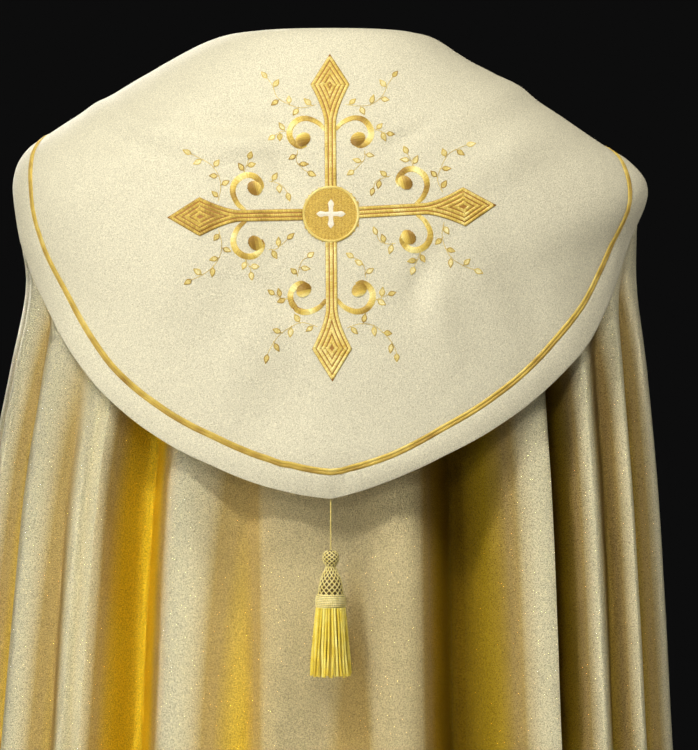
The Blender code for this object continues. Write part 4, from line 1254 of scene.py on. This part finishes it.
def makeTassel(top):
    chance = np.random.default_rng(tasselSet["seed"])
    _, netTone, wrapTone = tasselSet["tones"]
    shares, lines = np.linspace(0, 1, 26), []
    for part, (strands, sweep) in tasselSet["netStrands"].items():
        radius, levels = profileAt(part, shares, tasselSet["netLift"])
        for way in (-1, 1):
            for number in range(strands):
                angle = 2 * math.pi * number / strands + way * sweep * shares
                lines.append(roundTassel(radius, angle, levels, top, netTone))
    net = yarned("net", lines, "netCream", **tasselSet["net"])
    head = joinPieces("tassel_net", [net, turnedCore("knob", top), turnedCore("bell", top)])
    finishPiece(head, "tassel_gold", "tassel_head")

    core = turnedCore("band", top)
    tall = tasselSet["band"][1][1] - tasselSet["band"][-2][1]
    turns = tall / (tasselSet["wrap"]["yarn"] * tasselSet["wrapClose"])
    shares = np.linspace(0, 1, int(turns * tasselSet["wrapSteps"]))
    radius, levels = profileAt("band", shares)
    wrapLine = roundTassel(radius, 2 * math.pi * turns * shares, levels, top, wrapTone)
    wound = yarned("wrap", [wrapLine], "netCream", **tasselSet["wrap"])
    band = joinPieces("tassel_wrap", [wound, core])
    finishPiece(band, "tassel_gold", "tassel_band")

    lines, share, (swayOut, swayRound) = [], np.linspace(0, 1, 9), tasselSet["sway"]
    for radius, count, splay in tasselSet["fringeRings"]:
        for number in range(count):
            angle = 2 * math.pi * (number + chance.uniform(0.3, 0.7)) / count
            length = tasselSet["fringeLength"] * chance.uniform(*tasselSet["fringeLengths"])
            out = radius * (1 + (splay - 1) * share**0.85)
            out = out + swayOut * np.sin(share * 5 + chance.uniform(0, 6)) * share
            swing = angle + chance.normal(0, tasselSet["drift"]) * share
            swing = swing + swayRound * np.sin(share * 6 + chance.uniform(0, 6)) * share
            height = tasselSet["fringeTop"] - length * share
            lines.append(roundTassel(out, swing, height, top, chance.uniform(*tasselSet["fringeTones"])))
    fringe = yarned("tassel_fringe", lines, "tasselYellow", **tasselSet["fringe"])
    finishPiece(fringe, "tassel_gold", "tassel_skirt")
    return [head, band]


morseSet = {
    "half": 0.068, "rings": (4.6, 6.5), "rows": 24, "columns": 49, "wall": 0.003, "lift": 0.0009, "edge": 0.0011,
    "cut": (0.136, 0.066), "seamIn": 2, "seam": {"half": 0.0013, "crown": 0.0007, "shade": 0.5},
}
sewingSet = {
    "stitch": {"half": 0.0015, "crown": 0.0005, "shade": 0.5}, "fromHem": 0.012, "fromEdge": 0.004, "startRow": 40,
    "lay": {"spacing": 0.0046, "thread": 0.0005, "turned": math.pi / 2},
}


def makeMorse():
    # The tab, and the line that its stitches follow.
    rings = np.linspace(*morseSet["rings"], morseSet["rows"])
    columns = []
    for x in np.linspace(-morseSet["half"], morseSet["half"], morseSet["columns"]):
        turn = turnAt(abs(x), rings, "left" if x > 0 else "right")
        columns.append(envelope(np.copysign(turn, x), rings))
    grid = np.stack(columns, axis=1)
    grid = grid + (morseSet["lift"] - envelopeSet["sunk"]) * outward(grid)
    tab = gridMesh("ivory_morse", grid, "hoodIvory")
    giveWall(tab, morseSet["wall"], True, morseSet["edge"])
    finishPiece(tab, "hood_ivory", "morse_tab")
    top = grid + morseSet["wall"] * outward(grid)
    near = morseSet["seamIn"]
    low, far = morseSet["rows"] - 1 - near, morseSet["columns"] - 1 - near
    seam = [(near, c) for c in range(near, far + 1)] + [(r, far) for r in range(near, low + 1)]
    seam += [(low, c) for c in range(far, near - 1, -1)] + [(r, near) for r in range(low, near - 1, -1)]
    points, ups = (np.array([values[at] for at in seam]) for values in (top, outward(top)))
    return {"points": points, "ups": ups, **morseSet["seam"]}


def hemLines():
    # Running stitches a little inside the hem and the two front edges.
    ups, start = outward(cloakGrid), sewingSet["startRow"]
    share = sewingSet["fromHem"] / np.linalg.norm(cloakGrid[-1] - cloakGrid[-2], axis=-1)[:, None]
    lines = [(cloakGrid[-1] + (cloakGrid[-2] - cloakGrid[-1]) * share, ups[-1])]
    for first, second in ((0, 1), (-1, -2)):
        edge, inner = cloakGrid[:, first], cloakGrid[:, second]
        share = np.minimum(sewingSet["fromEdge"] / np.linalg.norm(inner - edge, axis=-1)[:, None], 0.8)
        lines.append(((edge + (inner - edge) * share)[start:], ups[start:, first]))
    return [{"points": points, "ups": normals, **sewingSet["stitch"]} for points, normals in lines]


def makeSewing(lines):
    finishPiece(laid("gold_stitching", lines, "satinGold", **sewingSet["lay"]), "gold_thread")


placeCamera()
makeClothFinishes(makeGrainGroup())
makeSilkFinishes(makeSilkGroup())
stitchTree, yarnTree = makeStitchTree(), makeYarnTree()
print("camera and finishes are ready")

thread, threadPath = makeTasselCord()
print("tassel cord is made")

placeLamps()
placeFloor()
print("lamps and floor are placed")

panels, cloakGrid = makeCloak()
print("cloak:", {node: len(piece.data.polygons) for node, piece in panels.items()}, "faces")

hoodTop = makeHood()
makeBraid(hoodTop)
print("hood and braid are made")

hoodTree = surfaceTree(hoodTop)
for armName, arm in crossSet["arms"].items():
    makeArm(armName, *arm)
makeRoundel()
makeScrolls()
makeSprays()
print("embroidery is made")

onCord = makeTassel(threadPath[-1] - Vector((0, 0, tasselSet["cordGap"])))
makeSewing([makeMorse(), *hemLines()])
print("tassel, morse and sewing are made")
